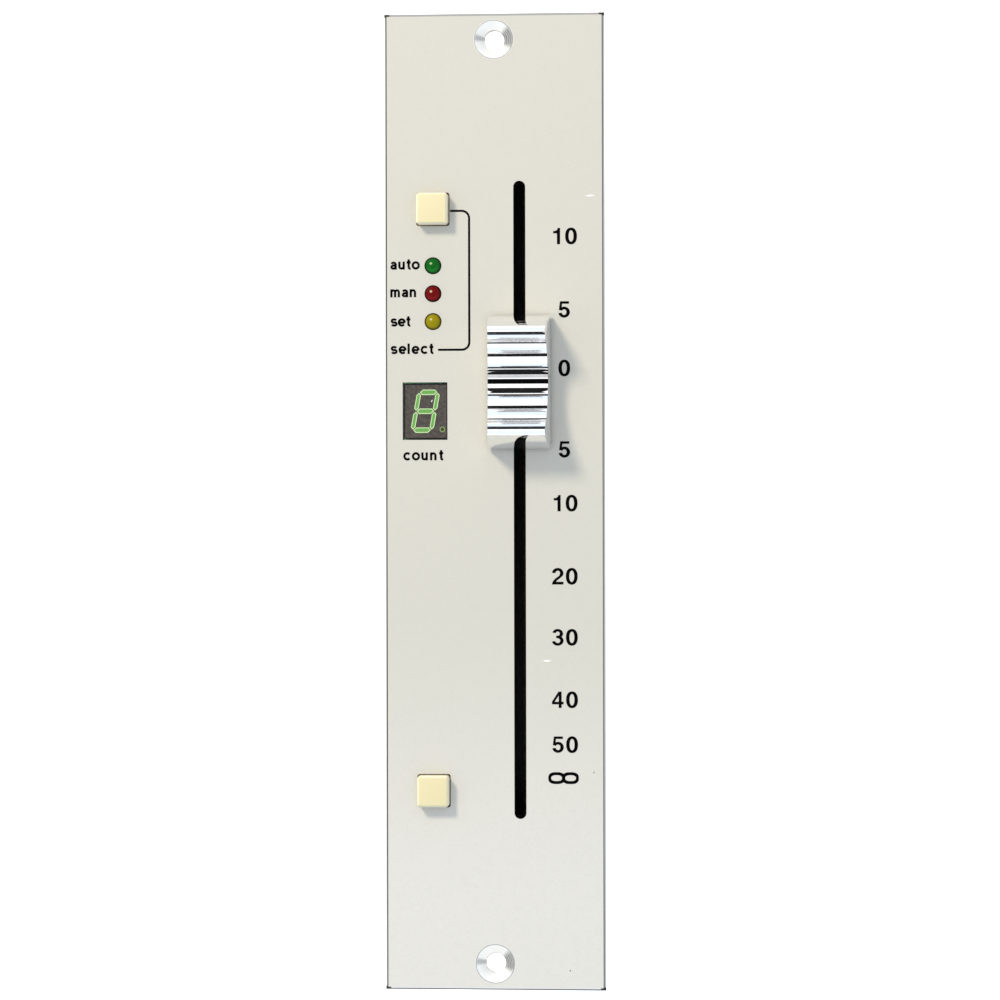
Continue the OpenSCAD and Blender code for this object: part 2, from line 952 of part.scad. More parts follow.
// One leaf of the wiper, seen from the side
module wiper_leaf() {
    reach = neck_l / 2;
    tip = 1.2;
    polygon([
        [-reach + 1, 0],
        [-reach + 1, -wiper_t],
        [reach - tip, -wiper_h],
        [reach, -wiper_h + 0.5],
        [reach, -wiper_h + 0.5 + wiper_t],
        [reach - tip, -wiper_h + wiper_t]
    ]);
}

module wiper_spring() {
    color("goldenrod")
        at_carriage()
            translate([0, 0, neck_bottom]) {
                span(
                    [-neck_w / 2 + 0.6, neck_w / 2 - 0.6],
                    [-neck_l / 2 + 1, neck_l / 2 - 2],
                    [-wiper_t, 0]
                );
                for (side = [-1, 1], tine = [-1, 1])
                    translate([side * track_x + tine * 0.5, 0, 0])
                        along_x(0.7) wiper_leaf();
            }
}

// A point of the finger hollow at an angle from its bottom, lifted by a height
function saddle_point(angle, lift) = [
    (saddle_r - lift) * sin(angle),
    saddle_z - (saddle_r - lift) * cos(angle)
];

// The ribbed hollow from the index line to the last valley
function rib_points(side) = [
    for (i = [0:ribs * rib_steps])
        saddle_point(
            side * i / rib_steps * rib_angle,
            rib_h * (1 - pow(2 * (i % rib_steps) / rib_steps - 1, 2))
        )
];

// A quadratic curve between two points, drawn towards a third
function curve(from, pull, to, steps) = [
    for (i = [0:steps])
        let (t = i / steps)
            (1 - t) * (1 - t) * from + 2 * t * (1 - t) * pull + t * t * to
];

function crest_point(angle) = [crest_y + crest_r * cos(angle), crest_h + crest_r * sin(angle)];

// Where the line that leaves the crest's round meets the line up from the base
function wall_pull() =
    let (
        top = crest_point(crest_end),
        drop = (knob_l / 2 - top[0] - top[1] * tan(wall_lean)) / (tan(crest_end) - tan(wall_lean))
    )
    [top[0] + drop * tan(crest_end), top[1] - drop];

// The round crest and the end wall, which bends outwards down to the base
function end_points() = concat(
    [for (i = [0:crest_steps - 1]) crest_point(crest_start + (crest_end - crest_start) * i / crest_steps)],
    curve(crest_point(crest_end), wall_pull(), [knob_l / 2, 0], wall_steps)
);

function mirrored(points) = [for (i = [len(points) - 1:-1:0]) [-points[i][0], points[i][1]]];

module knob_side() {
    half = concat(rib_points(1), end_points());
    polygon(concat(half, mirrored(half)));
}

// The knob's front view, which narrows towards the crest
module knob_front() {
    polygon([
        [-knob_w / 2, 0],
        [knob_w / 2, 0],
        [(knob_w - knob_taper) / 2, knob_top],
        [(knob_taper - knob_w) / 2, knob_top]
    ]);
}

module at_knob() {
    at_carriage()
        translate([0, 0, knob_base_z])
            children();
}

// The groove across the bottom of the hollow
module index_groove(height) {
    span([-knob_w, knob_w], [-index_w / 2, index_w / 2], [saddle_h - index_depth, saddle_h + height]);
}

module knob_hollow(side) {
    inner = stem_w / 2 + 1.2;
    outer = crest_y - 0.4;
    roof = saddle_z - saddle_r * cos(asin(inner / saddle_r)) - knob_wall;
    mirror([0, side, 0])
        span(
            [-knob_w / 2 + knob_wall, knob_w / 2 - knob_wall],
            [inner, outer],
            [-cut, roof]
        );
}

module fader_knob() {
    color("silver") {
        difference() {
            at_knob()
                difference() {
                    intersection() {
                        along_x(knob_w) knob_side();
                        along_y(knob_l) knob_front();
                    }
                    index_groove(1);
                    for (side = [0, 1])
                        knob_hollow(side);
                }
            at_carriage()
                along_x(stem_t + 2 * push_gap) stem_side(push_gap);
        }
    }
}

module index_line() {
    color("black")
        at_knob()
            intersection() {
                index_groove(0.1);
                along_y(knob_l) knob_front();
            }
}

module control_board() {
    color("darkgreen")
        translate([0, 0, board_bottom])
            linear_extrude(board_t)
                difference() {
                    translate([board_x, fader_y])
                        square([board_w, board_l], center = true);
                    for (y = board_stud_ys)
                        translate([board_x, y])
                            circle(d = stud_hole_d);
                    pin_holes(lamp_pins);
                    pin_holes(display_pins_at);
                    pin_holes(switch_pins_at);
                    pin_holes(header_pins_at);
                    pin_holes(chip_pins_at);
                    pin_holes(resistor_pins_at);
                    pin_holes(capacitor_pins_at);
                }
}

module board_studs() {
    color("silver")
        for (y = board_stud_ys)
            translate([board_x, y, 0])
                clinch_stud(board_bottom - nut_t - 0.6);
}

module board_spacers() {
    color("silver")
        for (y = board_stud_ys)
            translate([board_x, y, board_top])
                difference() {
                    cylinder(d = spacer_d, h = board_drop);
                    translate([0, 0, -cut])
                        cylinder(d = stud_hole_d, h = board_drop + 2 * cut);
                }
}

module board_nuts() {
    color("silver")
        for (y = board_stud_ys)
            translate([board_x, y, board_bottom - nut_t])
                hex_nut(stud_d + 2 * push_gap);
}

module key_switch(y) {
    well = plunger_w + 2 * run_gap;
    color("#26282a")
        translate([-button_x, y, board_top])
            difference() {
                bevelled_block(switch_w, switch_w, switch_h, 0.5);
                translate([0, 0, switch_h - (plunger_depth + button_stroke + 0.4) / 2 + cut / 2])
                    cube([well, well, plunger_depth + button_stroke + 0.4 + cut], center = true);
            }
}

module upper_key_switch() {
    key_switch(button_ys[0]);
}

module lower_key_switch() {
    key_switch(button_ys[1]);
}

module switch_pins() {
    color("silver")
        pins(switch_pins_at, board_bottom - pin_tail, board_top);
}

// Corners of one ring of the spring's wire
function wire_ring(turn, sides, length) = [
    for (i = [0:sides - 1])
        let (
            around = 360 * i / sides,
            out = spring_r + spring_wire_d / 2 * cos(around),
            height = spring_wire_d / 2 + (length - spring_wire_d) * turn / spring_turns
        )
            [out * cos(360 * turn), out * sin(360 * turn), height + spring_wire_d / 2 * sin(around)]
];

module coil_spring(length) {
    sides = 6;
    rings = ceil(spring_turns * 14);
    points = [for (k = [0:rings]) each wire_ring(spring_turns * k / rings, sides, length)];
    start = [for (i = [0:sides - 1]) i];
    end = [for (i = [sides - 1:-1:0]) rings * sides + i];
    walls = [
        for (k = [0:rings - 1], i = [0:sides - 1])
            let (
                next = (i + 1) % sides,
                low = k * sides,
                high = low + sides
            )
                [low + i, high + i, high + next, low + next]
    ];
    polyhedron(points, concat([start, end], walls));
}

module return_spring(y) {
    color("silver")
        translate([-button_x, y, switch_top])
            coil_spring(button_base - run_gap - switch_top);
}

module upper_return_spring() {
    return_spring(button_ys[0]);
}

module lower_return_spring() {
    return_spring(button_ys[1]);
}

module button_cap(y) {
    crown = 0.35;
    top = panel_t + button_proud;
    color("#f8ebb4")
        translate([-button_x, y, button_base])
            difference() {
                union() {
                    intersection() {
                        linear_extrude(top - button_base)
                            rounded_rect(button_w, button_w, button_corner);
                        bevelled_block(button_w, button_w, top - button_base, crown);
                    }
                    linear_extrude(button_flange)
                        rounded_rect(button_flange_w, button_flange_w, button_corner);
                }
                translate([0, 0, (plunger_top - button_base + push_gap - cut) / 2])
                    cube(
                        [
                            plunger_w + 2 * push_gap,
                            plunger_w + 2 * push_gap,
                            plunger_top - button_base + push_gap + cut
                        ],
                        center = true
                    );
            }
}

module upper_button_cap() {
    button_cap(button_ys[0]);
}

module lower_button_cap() {
    button_cap(button_ys[1]);
}

module plunger(y) {
    color("white")
        translate([-button_x, y, 0])
            span(
                [-plunger_w / 2, plunger_w / 2],
                [-plunger_w / 2, plunger_w / 2],
                [switch_top - plunger_depth, plunger_top]
            );
}

module upper_plunger() {
    plunger(button_ys[0]);
}

module lower_plunger() {
    plunger(button_ys[1]);
}

module lamp(y) {
    translate([-button_x, y, lamp_base]) {
        cylinder(d = lamp_flange_d, h = 1);
        cylinder(d = lamp_d, h = lamp_l - lamp_d / 2);
        translate([0, 0, lamp_l - lamp_d / 2])
            sphere(d = lamp_d);
    }
}

module green_lamp() {
    color("darkgreen")
        lamp(lamp_ys[0]);
}

module red_lamp() {
    color("darkred")
        lamp(lamp_ys[1]);
}

module yellow_lamp() {
    color("darkgoldenrod")
        lamp(lamp_ys[2]);
}

module lamp_leads() {
    color("silver")
        pins(lamp_pins, board_bottom - pin_tail, lamp_base);
}

module lamp_spacers() {
    color("whitesmoke")
        difference() {
            for (y = lamp_ys)
                translate([-button_x, y, board_top])
                    cylinder(d = lamp_flange_d, h = lamp_base - board_top);
            pins_clearance(lamp_pins, board_top - cut, lamp_base + cut);
        }
}

function slanted(points) = [for (p = points) [p[0] + p[1] * tan(digit_slant), p[1]]];

// A bar with pointed ends, long along X or along Y
function bar(x, y, l, w, upright) = [
    for (p = [[-l / 2, 0], [w / 2 - l / 2, w / 2], [l / 2 - w / 2, w / 2], [l / 2, 0], [l / 2 - w / 2, -w / 2], [w / 2 - l / 2, -w / 2]])
        upright ? [x - p[1], y + p[0]] : [x + p[0], y + p[1]]
];

module digit_outline() {
    for (row = [-1:1])
        polygon(slanted(bar(0, row * digit_step, digit_w - 2 * segment_gap, segment_row, false)));
    for (side = [-1, 1], row = [-1, 1])
        polygon(slanted(bar(
            side * digit_w / 2,
            row * digit_step / 2,
            digit_step - 2 * segment_gap,
            segment_column,
            true
        )));
    translate(dot_at)
        circle(dot_r);
}

module at_display(z) {
    translate([-display_x, display_y, z])
        children();
}

module display_case() {
    color("#3a332b")
        difference() {
            at_display(display_base)
                linear_extrude(display_depth)
                    rounded_rect(display_w, display_h, 0.2);
            at_display(display_face - segment_t)
                linear_extrude(segment_t + cut)
                    digit_outline();
        }
}

module display_segments() {
    color("#b9d8b0")
        at_display(display_face - segment_t)
            linear_extrude(segment_t)
                digit_outline();
}

module display_pins() {
    color("gold")
        pins(display_pins_at, board_bottom - pin_tail, display_base);
}

module display_socket() {
    color("#1c1c1c")
        difference() {
            at_display(board_top)
                linear_extrude(display_base - board_top)
                    difference() {
                        rounded_rect(display_w, display_h, 0.2);
                        square([display_pin_x, display_h - 2], center = true);
                    }
            pins_clearance(display_pins_at, board_top - cut, display_base + cut);
        }
}

module ribbon_header() {
    color("#1c1c1c")
        difference() {
            translate([board_x, header_y, board_bottom - header_h / 2])
                cube([header_w, header_l, header_h], center = true);
            translate([board_x, header_y, board_bottom - header_floor - header_h / 2])
                cube([header_w - 2 * header_wall, header_l - 2 * header_wall, header_h], center = true);
            translate([board_x - header_w / 2, header_y, board_bottom - header_floor - header_h / 2])
                cube([3 * header_wall, header_key_w, header_h], center = true);
            pins_clearance(header_pins_at, board_bottom - header_floor - cut, board_bottom + cut);
        }
}

module ribbon_pins() {
    color("gold")
        pins(header_pins_at, board_bottom - header_h + 1.5, board_top + pin_tail);
}

module logic_chip() {
    color("#1a1a1a")
        difference() {
            translate([board_x, chip_y, board_bottom - chip_lift])
                rotate([180, 0, 0])
                    bevelled_block(chip_w, chip_l, chip_h, 0.3);
            translate([board_x, chip_y + chip_l / 2, board_bottom - chip_lift - chip_h])
                cylinder(d = 1.8, h = 1, center = true);
        }
}

// Legs that leave the chip's sides and turn up through the board
module chip_legs() {
    leg_z = board_bottom - chip_lift - chip_h / 2;
    color("silver") {
        pins(chip_pins_at, leg_z - pin_w / 2, board_top + pin_tail);
        for (i = [-3:3], s = [-1, 1])
            translate([
                board_x + s * (chip_w / 2 + chip_row_x) / 2,
                chip_y + i * pin_pitch,
                leg_z
            ])
                cube([chip_row_x - chip_w / 2, pin_w, pin_w], center = true);
    }
}

module resistors() {
    lead_z = board_bottom - resistor_d / 2;
    color("tan") {
        pins(resistor_pins_at, lead_z, board_top + pin_tail);
        for (y = resistor_ys)
            translate([board_x, y, lead_z])
                rotate([0, 90, 0]) {
                    cylinder(d = resistor_d, h = resistor_l, center = true);
                    cylinder(d = pin_w, h = 2 * resistor_lead_x, center = true);
                }
    }
}

module capacitors() {
    color("midnightblue") {
        pins(capacitor_pins_at, board_bottom - cut, board_top + pin_tail);
        for (c = [-1, 1])
            translate([board_x + c * capacitor_x, capacitor_y, board_bottom - capacitor_h])
                cylinder(d = capacitor_d, h = capacitor_h);
    }
}

front_panel();
fader_chassis();
chassis_studs();
chassis_nuts();
left_guide_rod();
right_guide_rod();
stop_sleeves();
track_board();
level_track();
collector_track();
track_header();
track_pins();
motor_plate();
idler_plate();
plate_screws();
motor_can();
motor_end_cap();
motor_terminals();
motor_screws();
motor_shaft();
motor_pulley();
idler_pulley();
idler_pin();
idler_ring();
drive_belt();
carriage();
knob_stem();
belt_clamp();
wiper_spring();
fader_knob();
index_line();
control_board();
board_studs();
board_spacers();
board_nuts();
upper_key_switch();
lower_key_switch();
switch_pins();
upper_return_spring();
lower_return_spring();
upper_button_cap();
lower_button_cap();
upper_plunger();
lower_plunger();
green_lamp();
red_lamp();
yellow_lamp();
lamp_leads();
lamp_spacers();
display_case();
display_segments();
display_pins();
display_socket();
ribbon_header();
ribbon_pins();
logic_chip();
chip_legs();
resistors();
capacitors();
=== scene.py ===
"""Looks of a motorised channel fader module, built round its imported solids.

Every length is in metres unless a name ends in _mm, and every place is in the frame of the solids:
+X to the right of the panel, +Y to its top, +Z out of its front.
"""

from __future__ import annotations

import json
import logging
import math
from collections import Counter
from collections.abc import Callable, Iterable, Sequence
from dataclasses import dataclass
from enum import Enum

import bpy
from mathutils import Matrix, Vector


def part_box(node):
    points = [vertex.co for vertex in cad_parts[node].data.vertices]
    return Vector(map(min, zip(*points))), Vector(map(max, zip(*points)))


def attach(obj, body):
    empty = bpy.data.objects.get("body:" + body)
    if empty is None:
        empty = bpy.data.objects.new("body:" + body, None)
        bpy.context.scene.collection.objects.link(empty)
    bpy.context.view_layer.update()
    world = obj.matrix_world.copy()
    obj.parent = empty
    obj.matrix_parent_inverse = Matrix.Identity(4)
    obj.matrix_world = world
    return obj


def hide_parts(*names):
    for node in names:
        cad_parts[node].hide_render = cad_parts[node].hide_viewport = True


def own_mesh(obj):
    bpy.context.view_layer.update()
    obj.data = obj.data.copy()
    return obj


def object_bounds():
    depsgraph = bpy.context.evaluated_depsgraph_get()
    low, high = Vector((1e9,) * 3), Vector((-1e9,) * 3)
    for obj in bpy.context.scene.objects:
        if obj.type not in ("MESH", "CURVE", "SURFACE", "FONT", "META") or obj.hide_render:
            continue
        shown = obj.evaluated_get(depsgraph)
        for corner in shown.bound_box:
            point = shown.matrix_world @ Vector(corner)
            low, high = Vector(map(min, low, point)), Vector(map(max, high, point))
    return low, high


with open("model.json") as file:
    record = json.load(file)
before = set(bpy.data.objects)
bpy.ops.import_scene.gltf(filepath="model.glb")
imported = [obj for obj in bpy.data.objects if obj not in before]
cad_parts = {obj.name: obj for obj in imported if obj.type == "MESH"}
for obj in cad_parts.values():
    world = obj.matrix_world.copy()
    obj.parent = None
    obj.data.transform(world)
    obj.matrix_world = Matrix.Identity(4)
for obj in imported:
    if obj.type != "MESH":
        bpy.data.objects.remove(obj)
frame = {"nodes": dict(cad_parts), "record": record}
CAD_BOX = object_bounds()

MM = 0.001
log = logging.getLogger("fader")

Colour = tuple[float, float, float, float]
Point = tuple[float, float, float]
Flat = tuple[float, float]


def srgb(red: int, green: int, blue: int) -> Colour:
    """Turns a colour as seen on a screen into linear light.

    Args:
        red: Red from 0 to 255.
        green: Green from 0 to 255.
        blue: Blue from 0 to 255.

    Returns:
        The linear colour with full alpha.
    """

    def linear(level: int) -> float:
        """Undoes the screen's curve for one channel."""
        share = level / 255
        return share / 12.92 if share <= 0.04045 else ((share + 0.055) / 1.055) ** 2.4

    return (linear(red), linear(green), linear(blue), 1.0)


BODY_OF = {
    node: body
    for body, nodes in frame["record"]["behaviour"]["bodies"].items()
    for node in nodes
}


class Value:
    """A number that varies over a surface: the output socket of a shader node."""

    def __init__(self, shader: Shader, socket: bpy.types.NodeSocket) -> None:
        """Wraps a socket.

        Args:
            shader: The shader whose tree holds the socket.
            socket: The output socket.
        """
        self.shader = shader
        self.socket = socket

    def math(self, operation: str, *others: Value | float, clamp: bool = False) -> Value:
        """Adds a Math node that starts from this value.

        Args:
            operation: The node's operation.
            others: The node's other inputs.
            clamp: Whether the result is kept between 0 and 1.

        Returns:
            The node's output.
        """
        inputs = dict(enumerate((self, *others)))
        node = self.shader.node("ShaderNodeMath", {"operation": operation, "use_clamp": clamp}, inputs)
        return Value(self.shader, node.outputs[0])

    def reflected(self, operation: str, other: float) -> Value:
        """Adds a Math node whose first input is a plain number."""
        node = self.shader.node("ShaderNodeMath", {"operation": operation}, {0: other, 1: self})
        return Value(self.shader, node.outputs[0])

    def __add__(self, other: Value | float) -> Value:
        """Adds."""
        return self.math("ADD", other)

    def __radd__(self, other: float) -> Value:
        """Adds, with a plain number first."""
        return self.reflected("ADD", other)

    def __sub__(self, other: Value | float) -> Value:
        """Subtracts."""
        return self.math("SUBTRACT", other)

    def __rsub__(self, other: float) -> Value:
        """Subtracts from a plain number."""
        return self.reflected("SUBTRACT", other)

    def __mul__(self, other: Value | float) -> Value:
        """Multiplies."""
        return self.math("MULTIPLY", other)

    def __rmul__(self, other: float) -> Value:
        """Multiplies a plain number."""
        return self.reflected("MULTIPLY", other)

    def __truediv__(self, other: Value | float) -> Value:
        """Divides."""
        return self.math("DIVIDE", other)

    def size(self) -> Value:
        """Drops the sign."""
        return self.math("ABSOLUTE")

    def fraction(self) -> Value:
        """Keeps what follows the decimal point."""
        return self.math("FRACT")

    def step(self, low: float, high: float) -> Value:
        """Rises smoothly from 0 to 1 between two limits, or falls where low is above high.

        Args:
            low: Where the result is 0.
            high: Where the result is 1.

        Returns:
            The mask.
        """
        start, end = min(low, high), max(low, high)
        first, last = (0.0, 1.0) if low <= high else (1.0, 0.0)
        node = self.shader.node(
            "ShaderNodeMapRange",
            {"interpolation_type": "SMOOTHSTEP"},
            {"Value": self, "From Min": start, "From Max": end, "To Min": first, "To Max": last},
        )
        return Value(self.shader, node.outputs[0])

    def between(self, low: float, high: float, soft: float) -> Value:
        """Is 1 between two limits and 0 outside them, with a soft border."""
        return self.step(low - soft, low + soft) * self.step(high + soft, high - soft)


class Shader:
    """A material's node tree, written as a maker would mix a finish."""

    def __init__(self, name: str) -> None:
        """Starts an empty material.

        Args:
            name: The material's name.
        """
        self.material = bpy.data.materials.new(name)
        self.material.use_nodes = True
        self.tree = self.material.node_tree
        self.tree.nodes.clear()
        self.coordinates = self.node("ShaderNodeTexCoord").outputs["Object"]
        self._axes: list[Value] | None = None

    def node(
        self,
        kind: str,
        settings: dict[str, object] | None = None,
        inputs: dict[int | str, object] | None = None,
    ) -> bpy.types.Node:
        """Adds a node.

        Args:
            kind: The node's type.
            settings: The node's own settings; stops holds a ramp's (place, colour) pairs.
            inputs: Numbers, colours or links for its sockets, by name or number.

        Returns:
            The node.
        """
        node = self.tree.nodes.new(kind)
        for name, value in (settings or {}).items():
            if name == "stops":
                self._set_stops(node.color_ramp, value)
            else:
                setattr(node, name, value)
        for key, value in (inputs or {}).items():
            source = value.socket if isinstance(value, Value) else value
            if isinstance(source, bpy.types.NodeSocket):
                self.tree.links.new(source, node.inputs[key])
            else:
                node.inputs[key].default_value = source
        return node

    @staticmethod
    def _set_stops(ramp: bpy.types.ColorRamp, stops: Sequence[tuple[float, Colour]]) -> None:
        """Gives a ramp its stops."""
        for _ in stops[2:]:
            ramp.elements.new(0.5)
        for element, (place, colour) in zip(ramp.elements, stops, strict=True):
            element.position = place
            element.color = colour

    def axes(self) -> list[Value]:
        """Gives the three object coordinates, in millimetres."""
        if self._axes is None:
            scaled = self.node(
                "ShaderNodeVectorMath", {"operation": "SCALE"}, {0: self.coordinates, "Scale": 1 / MM}
            )
            split = self.node("ShaderNodeSeparateXYZ", None, {0: scaled.outputs[0]})
            self._axes = [Value(self, output) for output in split.outputs]
        return self._axes

    def normals(self) -> list[Value]:
        """Gives the three parts of the surface's normal."""
        source = self.node("ShaderNodeNewGeometry").outputs["Normal"]
        split = self.node("ShaderNodeSeparateXYZ", None, {0: source})
        return [Value(self, output) for output in split.outputs]

    def grain(self, size_mm: float, detail: float = 2.0, stretch: Point = (1.0, 1.0, 1.0)) -> Value:
        """Adds noise of a real size.

        Args:
            size_mm: The size of one blotch in millimetres.
            detail: The number of finer layers.
            stretch: How much each axis is squeezed; under 1 draws the noise out along it.

        Returns:
            Noise round 0.5.
        """
        mapping = self.node(
            "ShaderNodeMapping", {"vector_type": "POINT"}, {"Vector": self.coordinates, "Scale": stretch}
        )
        noise = self.node(
            "ShaderNodeTexNoise",
            None,
            {"Vector": mapping.outputs[0], "Scale": 1 / (size_mm * MM), "Detail": detail},
        )
        return Value(self, noise.outputs[0])

    def flecks(self, spacing_mm: float, radius: float, stretch: Point = (1.0, 1.0, 1.0)) -> Value:
        """Scatters small spots, about one to a cell of the given size.

        Args:
            spacing_mm: The distance between spots.
            radius: A spot's radius as a share of the spacing.
            stretch: How much each axis is squeezed.

        Returns:
            1 in a spot and 0 round it.
        """
        mapping = self.node(
            "ShaderNodeMapping", {"vector_type": "POINT"}, {"Vector": self.coordinates, "Scale": stretch}
        )
        cells = self.node(
            "ShaderNodeTexVoronoi",
            {"feature": "F1"},
            {"Vector": mapping.outputs[0], "Scale": 1 / (spacing_mm * MM)},
        )
        return Value(self, cells.outputs["Distance"]).step(radius, radius * 0.6)

    def mix(self, share: Value | float, first: object, second: object) -> bpy.types.NodeSocket:
        """Mixes two colours.

        Args:
            share: The share of the second colour.
            first: A colour or a colour socket.
            second: A colour or a colour socket.

        Returns:
            The mixed colour's socket.
        """
        node = self.node(
            "ShaderNodeMix", {"data_type": "RGBA", "clamp_factor": True}, {0: share, 6: first, 7: second}
        )
        return node.outputs[2]

    def bump(self, height: Value, depth_mm: float, strength: float = 1.0) -> bpy.types.NodeSocket:
        """Turns a height into a normal.

        Args:
            height: The height, from 0 to 1.
            depth_mm: What a height of 1 stands for.
            strength: The share of the bump that is used.

        Returns:
            The normal's socket.
        """
        node = self.node("ShaderNodeBump", None, {"Height": height, "Distance": depth_mm * MM, "Strength": strength})
        return node.outputs[0]

    def surface(self, **sockets: object) -> bpy.types.Material:
        """Closes the material with one glossy surface.

        Args:
            sockets: Values for the surface's sockets, with spaces written as underscores.

        Returns:
            The finished material.
        """
        inputs = {name.replace("_", " "): value for name, value in sockets.items()}
        shader = self.node("ShaderNodeBsdfPrincipled", None, inputs)
        self.node("ShaderNodeOutputMaterial", None, {"Surface": shader.outputs[0]})
        return self.material


@dataclass(frozen=True)
class PanelPaint:
    """Satin paint on the panel's front, with bare aluminium where it was cut after painting. It carries painted
    light towards the bottom, and painted shade and reflections on the bevels, in the screw holes and on the slot's
    walls.
    """

    half_w_mm: float
    top_z_mm: float
    screw_y_mm: float
    paint: Colour = srgb(185, 182, 171)
    # Painted light: the paler paint of the lower panel stands in for brighter light there.
    paint_lit_low: Colour = srgb(198, 195, 188)
    metal: Colour = srgb(252, 251, 247)
    # Dark specks of dirt; the same colour is also the painted shade on the bevels.
    grime_and_edge_shade: Colour = srgb(46, 42, 36)
    # Painted shade: black on the slot's walls.
    slot_wall_shade: Colour = srgb(7, 7, 8)
    nick: Colour = srgb(240, 239, 236)
    nicks: tuple[Flat, ...] = ((9.1, -27.9), (16.8, 53.5))
    specks: tuple[Flat, ...] = ((13.1, -82.1), (17.3, -47.4))
    ring_r_mm: float = 3.5
    bevel_mm: float = 0.45

    def material(self) -> bpy.types.Material:
        """Mixes the paint."""
        shader = Shader("panel_paint")
        x, y, z = shader.axes()
        top = z.step(self.top_z_mm - 0.12, self.top_z_mm - 0.04)
        off_x, off_y = x + 0.06, y.size() - self.screw_y_mm
        radius = (off_x * off_x + off_y * off_y).math("SQRT")
        ring = radius.step(self.ring_r_mm + 0.04, self.ring_r_mm - 0.04)
        front = shader.normals()[2].step(0.9, 0.995) * top * (1 - ring)
        # Painted shade: the slot's walls are coloured black and kept from bare metal, for the shade that falls in
        # the slot.
        slot_shade_mask = (x - 4.4).size().step(1.3, 1.15) * (y - 0.3).size().step(56.3, 56.1)
        slot_shade_mask = slot_shade_mask * z.step(self.top_z_mm - 0.01, self.top_z_mm - 0.04)
        mottle = shader.grain(2.2, 3.0)
        speck = shader.grain(0.22, 1.0)
        # Painted light: the paint turns paler towards the bottom, where the panel is lit more brightly.
        colour = shader.mix(y.step(-15, -75), self.paint, self.paint_lit_low)
        colour = shader.mix((mottle - 0.5).size() * 0.35, colour, srgb(170, 168, 160))
        colour = shader.mix((speck - 0.55).step(0.0, 0.25) * 0.35, colour, srgb(168, 167, 162))
        colour = shader.mix(self._spots(shader, x, y, self.nicks, (0.35, 2.4)), colour, self.nick)
        colour = shader.mix(self._spots(shader, x, y, self.specks, (2.2, 2.2)), colour, self.grime_and_edge_shade)
        brushed = shader.grain(0.12, 2.0, (1.0, 0.04, 1.0))
        metal = shader.mix(brushed * 0.4, self.metal, srgb(222, 222, 220))
        # Painted shade: dark lines on the bevels along the four edges.
        metal = shader.mix(self._edge_shade(x, y, z), metal, self.grime_and_edge_shade)
        # Painted reflection and shade: dark sectors and rings in the countersunk screw holes.
        metal = shader.mix(self._cone_reflections(shader, off_x, y, radius), metal, srgb(70, 70, 72))
        colour = shader.mix(front, metal, colour)
        colour = shader.mix(slot_shade_mask, colour, self.slot_wall_shade)
        bare = (1 - front) * (1 - slot_shade_mask)
        peel = shader.grain(0.35, 2.0)
        return shader.surface(
            Base_Color=colour,
            Metallic=bare * 0.75,
            Roughness=0.45 + speck * 0.12 - bare * 0.15 + brushed * bare * 0.1,
            Normal=shader.bump(peel, 0.012, 0.5),
            Specular_IOR_Level=0.3,
        )

    def _edge_shade(self, x: Value, y: Value, z: Value) -> Value:
        """Marks the painted shade on the inner and outer half of the bevel along each of the four edges, darker on
        some edges than on others.
        """
        low = self.top_z_mm - self.bevel_mm
        middle = low + self.bevel_mm * 0.5
        inner = z.step(middle - 0.04, middle + 0.04)
        side = self.half_w_mm - 1.0
        strips = (
            (x.step(-side, -side - 0.2), 1.0, 0.4),
            (x.step(side, side + 0.2), 0.85, 0.55),
            (y.step(85.0, 85.1), 0.72, 0.72),
            (y.step(-85.0, -85.1), 0.3, 0.95),
        )
        share = x * 0.0
        for strip, inside, outside in strips:
            share = share + strip * (inner * (inside - outside) + outside)
        return share * z.step(low - 0.1, low)

    def _cone_reflections(self, shader: Shader, x: Value, y: Value, radius: Value) -> Value:
        """Marks painted dark reflections and shade in the screw holes' cones, mostly on the right, with a dark ring
        at the lip and an arc at the throat.

        Args:
            shader: The shader.
            x: The distance to the right of the hole.
            y: The height on the panel.
            radius: The distance from the hole's axis.

        Returns:
            The mask.
        """
        above = (y.size() - self.screw_y_mm) * y.math("SIGN")
        angle = above.math("ARCTAN2", x)
        inside = radius.step(3.35, 3.2)
        streaks = (radius * 3.1 + shader.grain(0.9, 2.0) * 1.4).fraction()
        right = angle.between(-0.45, 0.75, 0.25) * (0.35 + streaks * 0.6)
        left = angle.between(2.85, 3.3, 0.12) * 0.45 + angle.between(-3.3, -3.05, 0.1) * 0.3
        lip = radius.between(3.3, 3.46, 0.03) * 0.7
        throat = radius.between(1.7, 1.8, 0.05) * angle.between(0.3, 2.7, 0.2) * 0.6
        return ((right + left) * inside + lip + throat).math("MINIMUM", 0.9)

    @staticmethod
    def _spots(shader: Shader, x: Value, y: Value, places: tuple[Flat, ...], squeeze: Flat) -> Value:
        """Marks a few small spots in the paint.

        Args:
            shader: The shader.
            x: The place across the panel.
            y: The place along it.
            places: Where the spots are.
            squeeze: How small a spot is across and along.

        Returns:
            The mask.
        """
        rough = shader.grain(0.5, 2.0) * 0.4
        mask = x * 0.0
        for place_x, place_y in places:
            off = (x - place_x).size() * squeeze[0] + (y - place_y).size() * squeeze[1] + rough
            mask = mask + off.step(0.6, 0.4)
        return mask


